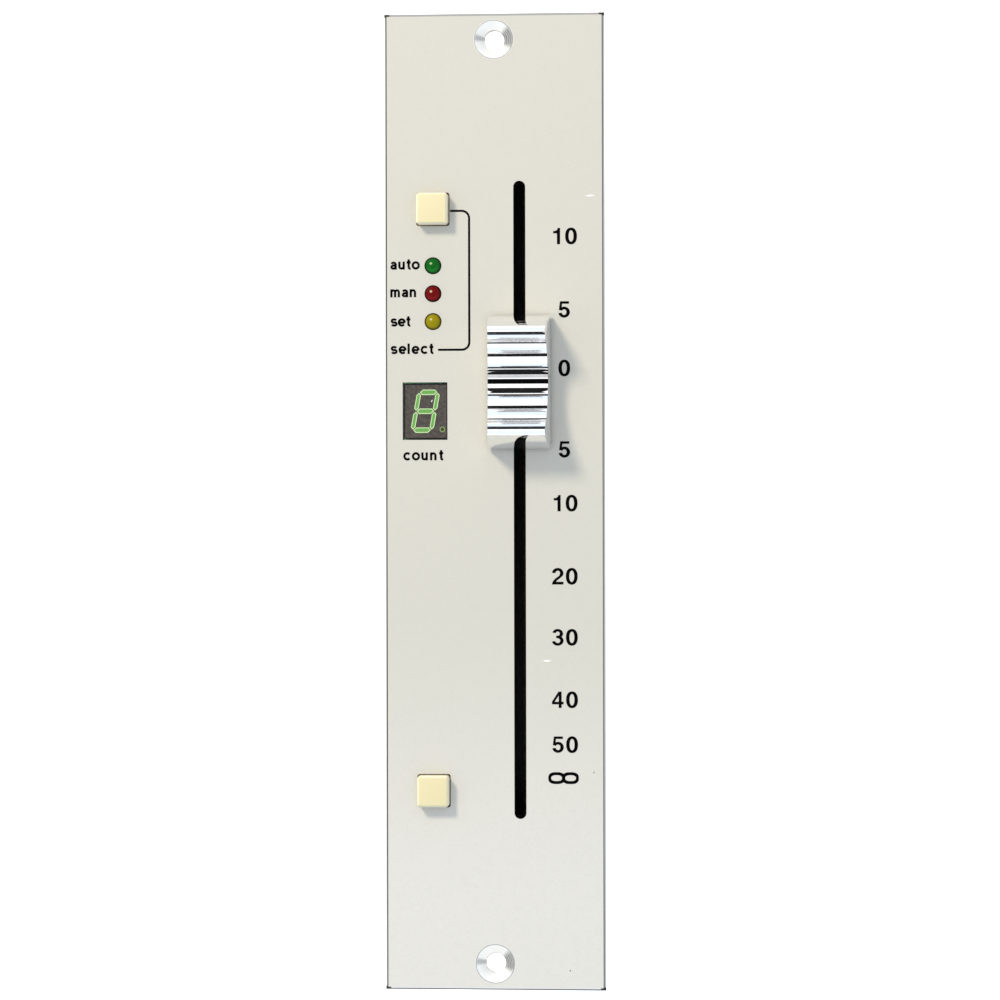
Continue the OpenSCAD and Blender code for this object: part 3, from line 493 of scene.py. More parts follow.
@dataclass(frozen=True)
class Metal:
    """A bare or plated metal with the marks of how it was made."""

    name: str
    colour: Colour
    dark: Colour
    roughness: float
    lay_mm: float = 0.15
    lay: Point = (1.0, 1.0, 1.0)
    blotch_mm: float = 3.0

    def material(self) -> bpy.types.Material:
        """Mixes the metal."""
        shader = Shader(self.name)
        blotch = shader.grain(self.blotch_mm, 2.0)
        lines = shader.grain(self.lay_mm, 2.0, self.lay)
        colour = shader.mix(blotch.step(0.35, 0.7) * 0.6 + lines * 0.25, self.colour, self.dark)
        return shader.surface(
            Base_Color=colour,
            Metallic=1.0,
            Roughness=self.roughness + blotch * 0.12 + lines * 0.1,
            Normal=shader.bump(lines, 0.01, 0.4),
        )


@dataclass(frozen=True)
class Moulding:
    """A moulded plastic or rubber with a fine grain and slight wear."""

    name: str
    colour: Colour
    worn: Colour
    roughness: float
    grain_mm: float = 0.18
    depth_mm: float = 0.006
    coat: float = 0.0

    def material(self) -> bpy.types.Material:
        """Mixes the plastic."""
        shader = Shader(self.name)
        cloud = shader.grain(2.5, 2.0)
        fine = shader.grain(self.grain_mm, 2.0)
        dust = shader.flecks(1.1, 0.06)
        colour = shader.mix(cloud.step(0.3, 0.75) * 0.5, self.colour, self.worn)
        colour = shader.mix(dust * 0.25, colour, srgb(190, 186, 178))
        return shader.surface(
            Base_Color=colour,
            Roughness=self.roughness + fine * 0.1 + dust * 0.1,
            Normal=shader.bump(fine, self.depth_mm, 0.7),
            Coat_Weight=self.coat,
        )


@dataclass(frozen=True)
class KnobChrome:
    """Bright plate on the knob, with painted dark reflections down in the valleys between the ribs and in two bands
    beside the index line.
    """

    hollow_y_mm: float
    hollow_z_mm: float
    hollow_reach_mm: float
    radius_mm: float
    rib_angle: float
    ribs: float
    bright: Colour = srgb(253, 253, 254)
    # Painted reflection: the dark colour of the valley lines.
    valley_reflection: Colour = srgb(16, 17, 19)

    def material(self) -> bpy.types.Material:
        """Mixes the plate."""
        shader = Shader("knob_chrome")
        _, y, z = shader.axes()
        haze = shader.grain(1.6, 2.0)
        along, below = y - self.hollow_y_mm, self.hollow_z_mm - z
        angle = along.math("ARCTAN2", below)
        depth = (along * along + below * below).math("SQRT")
        ribs = angle.size() / self.rib_angle
        middle = (ribs.fraction() - 0.5).size()
        inside = ribs.step(0.4, 0.6) * depth.step(self.radius_mm + 0.12, self.radius_mm + 0.05)
        inside = inside * along.size().step(self.hollow_reach_mm + 0.08, self.hollow_reach_mm + 0.03)
        last = ribs.step(self.ribs - 0.16, self.ribs - 0.11)
        # Painted reflection: dark lines down in the valleys between the ribs and at the last rib.
        valley_reflection = middle.step(0.41, 0.455).math("MAXIMUM", last) * inside
        fine = shader.grain(0.08, 2.0, (1.0, 0.15, 1.0))
        # Painted reflection: two grey bands beside the index line, varied by the haze.
        reflection_bands = along.between(0.62, 1.12, 0.08) + along.between(-0.98, -0.86, 0.05) * 0.6
        colour = shader.mix(reflection_bands * 0.6 * (0.6 + haze * 0.6), self.bright, srgb(96, 102, 108))
        colour = shader.mix(valley_reflection * 0.97, colour, self.valley_reflection)
        colour = shader.mix(haze.step(0.45, 0.8) * 0.12, colour, srgb(214, 220, 226))
        return shader.surface(
            Base_Color=colour,
            Metallic=1.0,
            Roughness=0.02 + haze * 0.02 + fine * 0.015 + valley_reflection * 0.15,
            Normal=shader.bump(haze, 0.004, 0.4),
        )


@dataclass(frozen=True)
class Ivory:
    """The keys' ivory plastic, with a painted highlight, paler, round the rim of each top, and painted shade low
    down on the sides.
    """

    middle: Colour = srgb(205, 193, 148)
    # Painted highlight: the paler colour round the rim of the top.
    edge: Colour = srgb(214, 207, 182)

    def material(self) -> bpy.types.Material:
        """Mixes the plastic."""
        shader = Shader("ivory_keys")
        x, y, z = shader.axes()
        across = (x + 10.8).size()
        along = ((y - 0.3).size() - 51.0).size()
        # Painted highlight: the mask of the paler rim of each cap's top.
        corner = across.math("MAXIMUM", along).step(2.35, 2.6)
        cloud = shader.grain(1.4, 2.0)
        fine = shader.grain(0.15, 2.0)
        colour = shader.mix(corner * 0.8 + cloud * 0.1, self.middle, self.edge)
        # Painted shade: darker low down on the sides, at and below the panel's front.
        colour = shader.mix(z.step(3.2, 2.2) * 0.5, colour, srgb(170, 146, 88))
        return shader.surface(
            Base_Color=colour,
            Roughness=0.38 + fine * 0.12,
            Normal=shader.bump(fine, 0.006, 0.6),
            Coat_Weight=0.15,
            Coat_Roughness=0.3,
            Subsurface_Weight=0.06,
            Subsurface_Radius=(0.0016, 0.001, 0.0005),
        )


@dataclass(frozen=True)
class TintedLens:
    """The cast resin of a lamp that is not lit, lighter low down where the light gathers, with painted shade round
    its rim and below the panel's front and a painted highlight up to the left.
    """

    name: str
    deep: Colour
    glow: Colour
    rim_shade: Colour
    centre: Flat
    # Painted highlight: the colour of the small glint on the dome.
    painted_glint: Colour = srgb(190, 196, 150)

    def material(self) -> bpy.types.Material:
        """Mixes the resin."""
        shader = Shader(self.name)
        x, y, z = shader.axes()
        off_x, off_y = x - self.centre[0], y - self.centre[1]
        radius = (off_x * off_x + off_y * off_y).math("SQRT")
        swirl = shader.grain(0.6, 2.0)
        crescent = radius.between(0.65, 1.1, 0.25) * (off_y - off_x * 0.2).step(0.1, -0.9)
        colour = shader.mix(crescent * 0.8 + swirl * 0.15, self.deep, self.glow)
        # Painted shade: darker round the dome's rim.
        colour = shader.mix(radius.step(1.05, 1.42) * 0.85, colour, self.rim_shade)
        # Painted highlight: a small glint up to the left of the dome's middle.
        spot_x, spot_y = off_x + 0.29, off_y - 0.35
        spot = (spot_x * spot_x + spot_y * spot_y).math("SQRT").step(0.32, 0.08)
        colour = shader.mix(spot * 0.6, colour, self.painted_glint)
        # Painted shade: darker below the panel's front, down in the hole.
        colour = shader.mix(z.step(2.9, 2.2) * 0.7, colour, self.rim_shade)
        return shader.surface(
            Base_Color=colour,
            Roughness=0.2 + swirl * 0.08,
            Specular_IOR_Level=0.06,
            Normal=shader.bump(swirl, 0.004, 0.4),
        )


@dataclass(frozen=True)
class Laminate:
    """A circuit board: coloured mask with tracks showing through it, and a bare edge."""

    name: str
    mask: Colour
    track: Colour
    edge: Colour
    pitch_mm: float = 1.27

    def material(self) -> bpy.types.Material:
        """Mixes the board."""
        shader = Shader(self.name)
        x, y, _ = shader.axes()
        flat = shader.normals()[2].size().step(0.8, 0.95)
        lane = ((x / self.pitch_mm).fraction() - 0.5).size().step(0.2, 0.14)
        cross = ((y / (2 * self.pitch_mm)).fraction() - 0.5).size().step(0.09, 0.06)
        patch = shader.grain(7.0, 0.0, (1.0, 0.45, 1.0))
        tracks = lane * patch.step(0.47, 0.5) + cross * patch.step(0.47, 0.44) * 0.9
        weave = shader.grain(0.3, 1.0)
        colour = shader.mix(tracks.math("MINIMUM", 1.0) * 0.8, self.mask, self.track)
        colour = shader.mix(weave * 0.25, colour, self.mask)
        colour = shader.mix(flat, self.edge, colour)
        return shader.surface(
            Base_Color=colour,
            Roughness=0.3 + weave * 0.15 + (1 - flat) * 0.3,
            Normal=shader.bump(tracks * 0.6 + weave * 0.2, 0.03, 0.6),
            Coat_Weight=0.3,
        )


@dataclass(frozen=True)
class BandedResistor:
    """Lacquered resistor bodies with plain colour rings, on tinned leads."""

    middle_x_mm: float
    bands: tuple[tuple[float, Colour], ...] = (
        (-2.1, srgb(130, 70, 30)),
        (-1.2, srgb(20, 20, 20)),
        (-0.3, srgb(200, 60, 20)),
        (1.8, srgb(190, 150, 60)),
    )

    def material(self) -> bpy.types.Material:
        """Mixes the lacquer."""
        shader = Shader("resistor_body")
        x, _, z = shader.axes()
        along = x - self.middle_x_mm
        cloud = shader.grain(0.5, 2.0)
        colour = shader.mix(cloud * 0.4, srgb(205, 172, 120), srgb(180, 145, 95))
        for place, band in self.bands:
            colour = shader.mix((along - place).size().step(0.3, 0.24), colour, band)
        lead = along.size().step(3.1, 3.2)
        colour = shader.mix(lead, colour, srgb(205, 205, 200))
        return shader.surface(
            Base_Color=colour,
            Metallic=lead,
            Roughness=0.28 + cloud * 0.1,
            Normal=shader.bump(cloud, 0.01, 0.4),
            Coat_Weight=(1 - lead) * 0.4,
        )


@dataclass(frozen=True)
class SleevedCan:
    """Capacitors in a dark sleeve with a pale stripe and a bare top."""

    middle_x_mm: float
    offset_mm: float
    end_z_mm: float

    def material(self) -> bpy.types.Material:
        """Mixes the sleeve."""
        shader = Shader("capacitor_sleeve")
        x, _, z = shader.axes()
        local = (x - self.middle_x_mm).size() - self.offset_mm
        end = z.step(self.end_z_mm + 0.12, self.end_z_mm + 0.04)
        top = end * shader.normals()[2].step(-0.8, -0.95)
        stripe = local.step(1.75, 1.9) * (1 - end)
        cloud = shader.grain(0.7, 2.0)
        colour = shader.mix(cloud * 0.3, srgb(28, 34, 78), srgb(18, 22, 52))
        colour = shader.mix(stripe, colour, srgb(186, 190, 200))
        colour = shader.mix(top, colour, srgb(206, 206, 206))
        return shader.surface(
            Base_Color=colour,
            Metallic=top,
            Roughness=0.25 + cloud * 0.12,
            Normal=shader.bump(cloud, 0.01, 0.4),
            Coat_Weight=(1 - top) * 0.3,
        )


@dataclass(frozen=True)
class RibbedBelt:
    """The belt's black rubber, ribbed across its length."""

    rib_mm: float = 1.0

    def material(self) -> bpy.types.Material:
        """Mixes the rubber."""
        shader = Shader("belt_rubber")
        _, y, _ = shader.axes()
        ribs = ((y / self.rib_mm).fraction() - 0.5).size() * 2
        dust = shader.grain(0.8, 3.0)
        colour = shader.mix(dust.step(0.45, 0.8) * 0.4, srgb(26, 26, 27), srgb(70, 68, 64))
        return shader.surface(
            Base_Color=colour,
            Roughness=0.6 + dust * 0.15,
            Normal=shader.bump(ribs.step(0.3, 0.7), 0.12, 0.8),
        )


@dataclass(frozen=True)
class Ink:
    """Screen-printed black ink, very slightly thin in places."""

    name: str = "legend_ink"
    solid: Colour = srgb(2, 2, 3)
    thin: Colour = srgb(12, 12, 12)

    def material(self) -> bpy.types.Material:
        """Mixes the ink."""
        shader = Shader(self.name)
        thin = shader.grain(0.25, 2.0)
        colour = shader.mix(thin.step(0.5, 0.8) * 0.6, self.solid, self.thin)
        return shader.surface(
            Base_Color=colour,
            Roughness=0.5 + thin * 0.15,
            Normal=shader.bump(thin, 0.004, 0.4),
            Specular_IOR_Level=0.02,
        )


class Side(Enum):
    """Which side of the control board a part stands on."""

    FRONT = "front"
    REAR = "rear"


def let_go() -> None:
    """Leaves nothing selected, in object mode."""
    if bpy.context.object is not None and bpy.context.object.mode != "OBJECT":
        bpy.ops.object.mode_set(mode="OBJECT")
    bpy.ops.object.select_all(action="DESELECT")


def take(piece: bpy.types.Object) -> None:
    """Makes one piece the only one selected, and the active one."""
    let_go()
    piece.select_set(True)
    bpy.context.view_layer.objects.active = piece


def choose(piece: bpy.types.Object, kind: str, test: Callable[..., bool]) -> int:
    """Selects the vertices, edges or faces of a piece that pass a test, and opens edit mode.

    Args:
        piece: The piece.
        kind: VERT, EDGE or FACE.
        test: Takes a vertex, edge or polygon and says whether it is wanted.

    Returns:
        How many were chosen.
    """
    take(piece)
    mesh = piece.data
    for group in (mesh.vertices, mesh.edges, mesh.polygons):
        group.foreach_set("select", [False] * len(group))
    group = {"VERT": mesh.vertices, "EDGE": mesh.edges, "FACE": mesh.polygons}[kind]
    found = [item for item in group if test(item)]
    for item in found:
        item.select = True
    bpy.context.tool_settings.mesh_select_mode = [kind == mode for mode in ("VERT", "EDGE", "FACE")]
    bpy.ops.object.mode_set(mode="EDIT")
    return len(found)


def open_whole(piece: bpy.types.Object) -> None:
    """Opens edit mode with the whole of a piece selected."""
    choose(piece, "VERT", lambda vertex: True)
    bpy.ops.mesh.select_all(action="SELECT")


def chain(name: str, points: Sequence[Point], closed: bool = False) -> bpy.types.Object:
    """Draws a row of edges, vertex by vertex, from a plane shrunk to one point.

    Args:
        name: The new object's name.
        points: The places of the vertices.
        closed: Whether the last vertex is joined to the first.

    Returns:
        The object, in object mode.
    """
    let_go()
    bpy.ops.mesh.primitive_plane_add(size=MM, location=(0, 0, 0))
    piece = bpy.context.object
    piece.name = piece.data.name = name
    open_whole(piece)
    bpy.ops.mesh.merge(type="CENTER")
    bpy.ops.transform.translate(value=points[0])
    for here, there in zip(points, points[1:]):
        move = Vector(there) - Vector(here)
        bpy.ops.mesh.extrude_region_move(TRANSFORM_OT_translate={"value": move})
    if closed:
        bpy.ops.object.mode_set(mode="OBJECT")
        joints = Counter(index for edge in piece.data.edges for index in edge.vertices)
        choose(piece, "VERT", lambda vertex: joints[vertex.index] == 1)
        bpy.ops.mesh.edge_face_add()
    bpy.ops.object.mode_set(mode="OBJECT")
    return piece


def raised(piece: bpy.types.Object, move: Point) -> bpy.types.Object:
    """Fills a piece's closed loops, holes left open, and pulls them into a solid.

    Args:
        piece: The piece with its closed loops of edges.
        move: How far, and which way, the face is pulled.

    Returns:
        The piece.
    """
    open_whole(piece)
    bpy.ops.mesh.fill(use_beauty=True)
    bpy.ops.mesh.select_all(action="SELECT")
    bpy.ops.mesh.extrude_region_move(TRANSFORM_OT_translate={"value": move})
    tidy_normals()
    return piece


def tidy_normals() -> None:
    """Merges doubles, turns every face outwards and goes back to object mode."""
    bpy.ops.mesh.select_all(action="SELECT")
    bpy.ops.mesh.remove_doubles(threshold=1e-7)
    bpy.ops.mesh.normals_make_consistent(inside=False)
    bpy.ops.object.mode_set(mode="OBJECT")


def turned(name: str, profile: Sequence[Flat], centre: Flat, steps: int = 32) -> bpy.types.Object:
    """Turns a profile round an upright axis.

    Args:
        name: The new object's name.
        profile: (radius, height) points from the bottom's middle to the top's.
        centre: Where the axis stands.
        steps: The number of sides.

    Returns:
        The turned piece.
    """
    piece = chain(name, [(centre[0] + radius, centre[1], height) for radius, height in profile])
    open_whole(piece)
    bpy.ops.mesh.spin(steps=steps, angle=math.tau, center=(*centre, 0), axis=(0, 0, 1))
    tidy_normals()
    return piece


def modify(piece: bpy.types.Object, kind: str, **settings: object) -> bpy.types.Object:
    """Adds a modifier with its settings and applies it."""
    take(piece)
    modifier = piece.modifiers.new(kind.lower(), kind)
    for name, value in settings.items():
        setattr(modifier, name, value)
    bpy.ops.object.modifier_apply(modifier=modifier.name)
    return piece


def smooth(piece: bpy.types.Object, degrees: float = 35.0) -> bpy.types.Object:
    """Smooths a piece's shading where its faces meet at less than an angle."""
    take(piece)
    bpy.ops.object.shade_smooth_by_angle(angle=math.radians(degrees))
    return piece


def joined(name: str, pieces: Sequence[bpy.types.Object]) -> bpy.types.Object:
    """Joins pieces into one object with a new name."""
    let_go()
    for piece in pieces:
        piece.select_set(True)
    bpy.context.view_layer.objects.active = pieces[0]
    bpy.ops.object.join()
    pieces[0].name = pieces[0].data.name = name
    return pieces[0]


def copied(piece: bpy.types.Object, name: str, move: Point) -> bpy.types.Object:
    """Copies a piece with its own mesh and moves the copy's mesh.

    Args:
        piece: The piece to copy.
        name: The copy's name.
        move: How far the copy's mesh is moved.

    Returns:
        The copy.
    """
    twin = piece.copy()
    twin.data = piece.data.copy()
    twin.name = twin.data.name = name
    bpy.context.collection.objects.link(twin)
    open_whole(twin)
    bpy.ops.transform.translate(value=move)
    bpy.ops.object.mode_set(mode="OBJECT")
    return twin


def dress(piece: bpy.types.Object, *materials: bpy.types.Material) -> bpy.types.Object:
    """Gives a piece its materials, in slot order."""
    piece.data.materials.clear()
    for material in materials:
        piece.data.materials.append(material)
    return piece


def settle(piece: bpy.types.Object, body: str, slot: str, *replaced: str) -> bpy.types.Object:
    """Fixes a finished piece to its body.

    Args:
        piece: The piece.
        body: The body that carries it.
        slot: The record's material slot; not used.
        replaced: The nodes that it stands for.

    Returns:
        The piece.
    """
    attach(piece, body)
    if replaced:
        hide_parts(*replaced)
    log.info("%s: %d faces, rides on %s", piece.name, len(piece.data.polygons), body)
    return piece


def dress_nodes(names: Iterable[str], material: bpy.types.Material) -> None:
    """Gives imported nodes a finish."""
    for name in names:
        slots = frame["nodes"][name].material_slots
        for slot in slots:
            slot.material = material
        log.info("%s: dressed in %s", name, material.name)


def merged_form(node: str) -> bpy.types.Object:
    """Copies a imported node's mesh and joins its loose triangles into whole faces.

    Args:
        node: The node's name.

    Returns:
        The copy, named after the node.
    """
    source = frame["nodes"][node]
    mesh = source.data.copy()
    piece = bpy.data.objects.new(f"{node}_form", mesh)
    mesh.name = piece.name
    bpy.context.collection.objects.link(piece)
    open_whole(piece)
    bpy.ops.mesh.customdata_custom_splitnormals_clear()
    bpy.ops.mesh.remove_doubles(threshold=2e-6)
    bpy.ops.mesh.dissolve_limited(angle_limit=math.radians(1.0))
    bpy.ops.object.mode_set(mode="OBJECT")
    return piece


def softened(node: str, width_mm: float, material: bpy.types.Material, slot: str) -> bpy.types.Object:
    """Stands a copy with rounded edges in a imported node's place.

    Args:
        node: The node's name.
        width_mm: The width of the rounding.
        material: The finish.
        slot: The record's material slot.

    Returns:
        The rounded piece.
    """
    piece = merged_form(node)
    modify(
        piece, "BEVEL", width=width_mm * MM, segments=3, limit_method="ANGLE",
        angle_limit=math.radians(35), use_clamp_overlap=True, miter_outer="MITER_ARC",
    )
    smooth(piece, 40)
    dress(piece, material)
    return settle(piece, BODY_OF[node], slot, node)


@dataclass
class SaddleKnob:
    """The fader's knob: a finger hollow with ribs across it, between two crests."""

    ribs: int = 4
    half_angle: float = 56.0
    hollow_floor_mm: float = 3.8
    crest_inset_mm: float = 3.4
    crest_r_mm: float = 0.9
    crest_start: float = 96.0
    crest_lip_mm: float = 0.49
    crest_end: float = 44.0
    wall_lean: float = 7.5
    wall_sag: float = 2.2
    corner_mm: float = 0.6
    rib_h_mm: float = 0.28
    taper_mm: float = 1.1
    groove_w_mm: float = 0.85
    groove_d_mm: float = 0.45
    edge_mm: float = 0.08
    steps: int = 14

    def __post_init__(self) -> None:
        """Works out the hollow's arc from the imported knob's box."""
        low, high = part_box("fader_knob")
        self.low, self.high = low / MM, high / MM
        self.centre = (self.low + self.high) / 2
        self.half_l = (self.high.y - self.low.y) / 2
        self.half_w = (self.high.x - self.low.x) / 2
        start = math.radians(self.crest_start)
        self.crest_y = self.half_l - self.crest_inset_mm
        reach = self.crest_y + self.crest_r_mm * math.cos(start)
        self.radius = reach / math.sin(math.radians(self.half_angle))
        self.arc_z = self.hollow_floor_mm + self.radius
        valley_z = self.arc_z - self.radius * math.cos(math.radians(self.half_angle))
        self.crest_z = valley_z + self.crest_lip_mm - self.crest_r_mm * math.sin(start)

    def hollow_point(self, place: float) -> Flat:
        """Gives a point of the ribbed hollow.

        Args:
            place: The number of ribs from the index line.

        Returns:
            Its distance along the knob and its height above the base.
        """
        angle = math.radians(place * self.half_angle / self.ribs)
        lift = self.rib_h_mm * (1 - (2 * (place % 1) - 1) ** 2)
        radius = self.radius - lift
        return (radius * math.sin(angle), self.arc_z - radius * math.cos(angle))

    def crest_point(self, degrees: float) -> Flat:
        """Gives a point of the crest's round at an angle above the level."""
        angle = math.radians(degrees)
        return (
            self.crest_y + self.crest_r_mm * math.cos(angle),
            self.crest_z + self.crest_r_mm * math.sin(angle),
        )

    def half_profile(self) -> list[Flat]:
        """Gives half of the side view, from the groove over the crest to the base."""
        half_groove = self.groove_w_mm / 2
        floor = self.hollow_floor_mm - self.groove_d_mm
        places = [step / self.steps for step in range(1, self.ribs * self.steps + 1)]
        hollow = [self.hollow_point(place) for place in places]
        hollow = [point for point in hollow if point[0] > half_groove]
        span = self.crest_start - self.crest_end
        crest = [self.crest_point(self.crest_start - span * step / 12) for step in range(12)]
        start = self.crest_point(self.crest_end)
        fan = self.crest_end - self.wall_lean
        steps = 20
        turns = [
            self.wall_lean + fan * (1 - ((step + 0.5) / steps) ** 1.5) ** self.wall_sag
            for step in range(steps)
        ]
        falls = [1 / math.tan(math.radians(turn)) for turn in turns]
        wall = [
            (
                start[0] + (self.half_l - start[0]) * step / steps,
                start[1] * (1 - sum(falls[:step]) / sum(falls)),
            )
            for step in range(steps + 1)
        ]
        rim_z = self.hollow_point(half_groove / self.radius / math.radians(self.half_angle) * self.ribs)[1]
        return [(half_groove, floor), (half_groove, rim_z), *hollow, *crest, *wall]

    def build(self) -> bpy.types.Object:
        """Models the knob."""
        half = self.half_profile()
        outline = half + [(-y, z) for y, z in reversed(half)]
        left = self.centre.x - self.half_w
        points = [
            (left * MM, (self.centre.y + y) * MM, (self.low.z + z) * MM) for y, z in outline
        ]
        knob = chain("saddle_knob", points, closed=True)
        open_whole(knob)
        bpy.ops.mesh.edge_face_add()
        bpy.ops.mesh.extrude_region_move(
            TRANSFORM_OT_translate={"value": (2 * self.half_w * MM, 0, 0)}
        )
        tidy_normals()
        self._narrow(knob)
        self._hollow_out(knob)
        self._round_corners(knob)
        modify(
            knob, "BEVEL", width=self.edge_mm * MM, segments=4, limit_method="ANGLE",
            angle_limit=math.radians(50), miter_outer="MITER_ARC",
        )
        smooth(knob, 16)
        chrome = KnobChrome(
            self.centre.y,
            self.low.z + self.arc_z,
            self.radius * math.sin(math.radians(self.half_angle)),
            self.radius,
            math.radians(self.half_angle) / self.ribs,
            self.ribs,
        )
        dress(knob, chrome.material())
        return settle(knob, "fader", "knob_chrome", "fader_knob")

    def _narrow(self, knob: bpy.types.Object) -> None:
        """Cuts both sides back so that the knob narrows towards its crest."""
        height = self.crest_z + self.crest_r_mm
        for side in (-1, 1):
            open_whole(knob)
            place = ((self.centre.x + side * self.half_w) * MM, self.centre.y * MM, self.low.z * MM)
            facing = Vector((side * height, 0, self.taper_mm / 2)).normalized()
            bpy.ops.mesh.bisect(
                plane_co=place, plane_no=facing, use_fill=True, clear_outer=True, threshold=1e-7
            )
            bpy.ops.object.mode_set(mode="OBJECT")

    def _round_corners(self, knob: bpy.types.Object) -> None:
        """Rounds the upright corners of both end walls."""
        vertices = knob.data.vertices
        wall_y = self.crest_point(self.crest_end)[0] - 0.01
        side_x = self.half_w - self.taper_mm / 2 - 0.1

        def upright(edge: bpy.types.MeshEdge) -> bool:
            """Says whether an edge runs down a corner."""
            ends = [vertices[index].co / MM - self.centre for index in edge.vertices]
            outside = all(abs(end.y) > wall_y and abs(end.x) > side_x for end in ends)
            return outside and abs(ends[0].z - ends[1].z) > 1e-3

        choose(knob, "EDGE", upright)
        bpy.ops.mesh.bevel(offset=self.corner_mm * MM, segments=5, affect="EDGES", clamp_overlap=True)
        bpy.ops.object.mode_set(mode="OBJECT")

    def _hollow_out(self, knob: bpy.types.Object) -> None:
        """Presses a hollow into the underside, as the real moulding has."""
        base = self.low.z * MM
        choose(
            knob, "FACE",
            lambda face: face.normal.z < -0.99 and abs(face.center.z - base) < 1e-5,
        )
        bpy.ops.mesh.inset(thickness=1.5 * MM, depth=0)
        bpy.ops.mesh.extrude_region_move(TRANSFORM_OT_translate={"value": (0, 0, 2.0 * MM)})
        bpy.ops.object.mode_set(mode="OBJECT")


@dataclass
class IndicatorLamp:
    """A small domed lamp with a flange behind the panel."""

    node: str
    slot: str
    deep: Colour
    glow: Colour
    rim_shade: Colour
    rings: int = 9

    def build(self) -> bpy.types.Object:
        """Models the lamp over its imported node."""
        low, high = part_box(self.node)
        centre = ((low.x + high.x) / 2, (low.y + high.y) / 2)
        flange = (high.x - low.x) / 2
        radius = 1.45 * MM
        dome_z = high.z - radius
        dome = [
            (radius * math.cos(angle), dome_z + radius * math.sin(angle))
            for angle in (step * math.pi / 2 / self.rings for step in range(self.rings))
        ]
        profile = [
            (0, low.z), (flange - 0.1 * MM, low.z), (flange, low.z + 0.1 * MM),
            (flange, low.z + 0.9 * MM), (flange - 0.1 * MM, low.z + MM), (radius, low.z + MM),
            *dome, (0, high.z),
        ]
        lamp = turned(f"{self.node}_lens", profile, centre)
        smooth(lamp, 40)
        middle = (centre[0] / MM, centre[1] / MM)
        lens = TintedLens(self.slot, self.deep, self.glow, self.rim_shade, middle)
        dress(lamp, lens.material())
        return settle(lamp, "panel", self.slot, self.node)


@dataclass
class DigitDisplay:
    """The one-digit display: a dark case whose cast bars have a paler rim."""

    rim_mm: float = 0.16
    sunk_mm: float = 0.015

    def build(self) -> None:
        """Models the bars and dresses the case."""
        bars = merged_form("display_segments")
        bars.name = bars.data.name = "digit_bars"
        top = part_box("display_segments")[1].z
        choose(bars, "FACE", lambda face: face.normal.z > 0.9 and abs(face.center.z - top) < 1e-5)
        bpy.ops.mesh.inset(thickness=self.rim_mm * MM, depth=-self.sunk_mm * MM, use_individual=True)
        bpy.ops.object.mode_set(mode="OBJECT")
        rims = self._resin("display_bars", srgb(176, 200, 148), srgb(122, 140, 84))
        middles = self._resin("bar_middles", srgb(96, 148, 74), srgb(46, 60, 34))
        dress(bars, rims, middles)
        for face in bars.data.polygons:
            middle = face.normal.z > 0.9 and abs(face.center.z - top + self.sunk_mm * MM) < 1e-6
            face.material_index = int(middle)
        settle(bars, "panel", "display_bars", "display_segments")
        dress_nodes(["display_case"], self._housing())

    @staticmethod
    def _housing() -> bpy.types.Material:
        """Mixes the case's dark face, with painted shade in black along its left side and both ends, and one painted
        glint in a short bright dash.
        """
        low, high = (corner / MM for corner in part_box("display_case"))
        shader = Shader("display_housing")
        x, y, _ = shader.axes()
        cloud = shader.grain(0.5, 3.0)
        # Painted shade: black along the left side and both ends, where the opening's walls shade the case.
        left = x.step(low.x + 0.24, low.x + 0.12)
        ends = (y - (low.y + high.y) / 2).size().step(
            (high.y - low.y) / 2 - 0.24, (high.y - low.y) / 2 - 0.14
        )
        # Painted highlight: one short bright dash standing in for a glint on the face.
        off_x, off_y = x + 11.1, y - 17.7
        painted_glint_dash = (off_x * 0.5 + off_y * 0.85).size().step(0.26, 0.14) * (
            (off_x * 0.85 - off_y * 0.5).size().step(0.1, 0.03)
        )
        colour = shader.mix(cloud.step(0.35, 0.7), srgb(62, 57, 53), srgb(76, 71, 66))
        colour = shader.mix(left.math("MAXIMUM", ends) * 0.9, colour, srgb(10, 10, 10))
        colour = shader.mix(painted_glint_dash * 0.9, colour, srgb(220, 224, 218))
        return shader.surface(
            Base_Color=colour,
            Roughness=0.4 + cloud * 0.15,
            Normal=shader.bump(cloud, 0.006, 0.6),
            Specular_IOR_Level=0.15,
        )

    @staticmethod
    def _resin(name: str, colour: Colour, dot: Colour) -> bpy.types.Material:
        """Mixes the milky resin of the bars, which is darker in the dot.

        Args:
            name: The material's name.
            colour: The bars' colour.
            dot: The colour of the point at the lower right.

        Returns:
            The material.
        """
        shader = Shader(name)
        x, y, _ = shader.axes()
        cloud = shader.grain(0.6, 2.0)
        shade = tuple(0.86 * part for part in colour[:3]) + (1.0,)
        in_dot = x.step(-10.0, -9.9) * y.step(13.5, 13.4)
        bars = shader.mix(cloud * 0.5, colour, shade)
        return shader.surface(
            Base_Color=shader.mix(in_dot, bars, dot),
            Roughness=0.4 + cloud * 0.15,
            Normal=shader.bump(cloud, 0.005, 0.5),
            Specular_IOR_Level=0.1,
        )


def arc(centre: Flat, radii: Flat, start: float, end: float, steps: int, power: float = 2.0) -> list[Flat]:
    """Draws part of an ellipse, or of a squarer oval.

    Args:
        centre: The oval's centre.
        radii: Its half width and half height.
        start: The first angle in degrees.
        end: The last angle in degrees.
        steps: The number of stretches.
        power: 2 for an ellipse, more for a squarer oval.

    Returns:
        The points.
    """
    points = []
    for step in range(steps + 1):
        angle = math.radians(start + (end - start) * step / steps)
        cosine, sine = math.cos(angle), math.sin(angle)
        reach_x = math.copysign(abs(cosine) ** (2 / power), cosine)
        reach_y = math.copysign(abs(sine) ** (2 / power), sine)
        points.append((centre[0] + radii[0] * reach_x, centre[1] + radii[1] * reach_y))
    return points


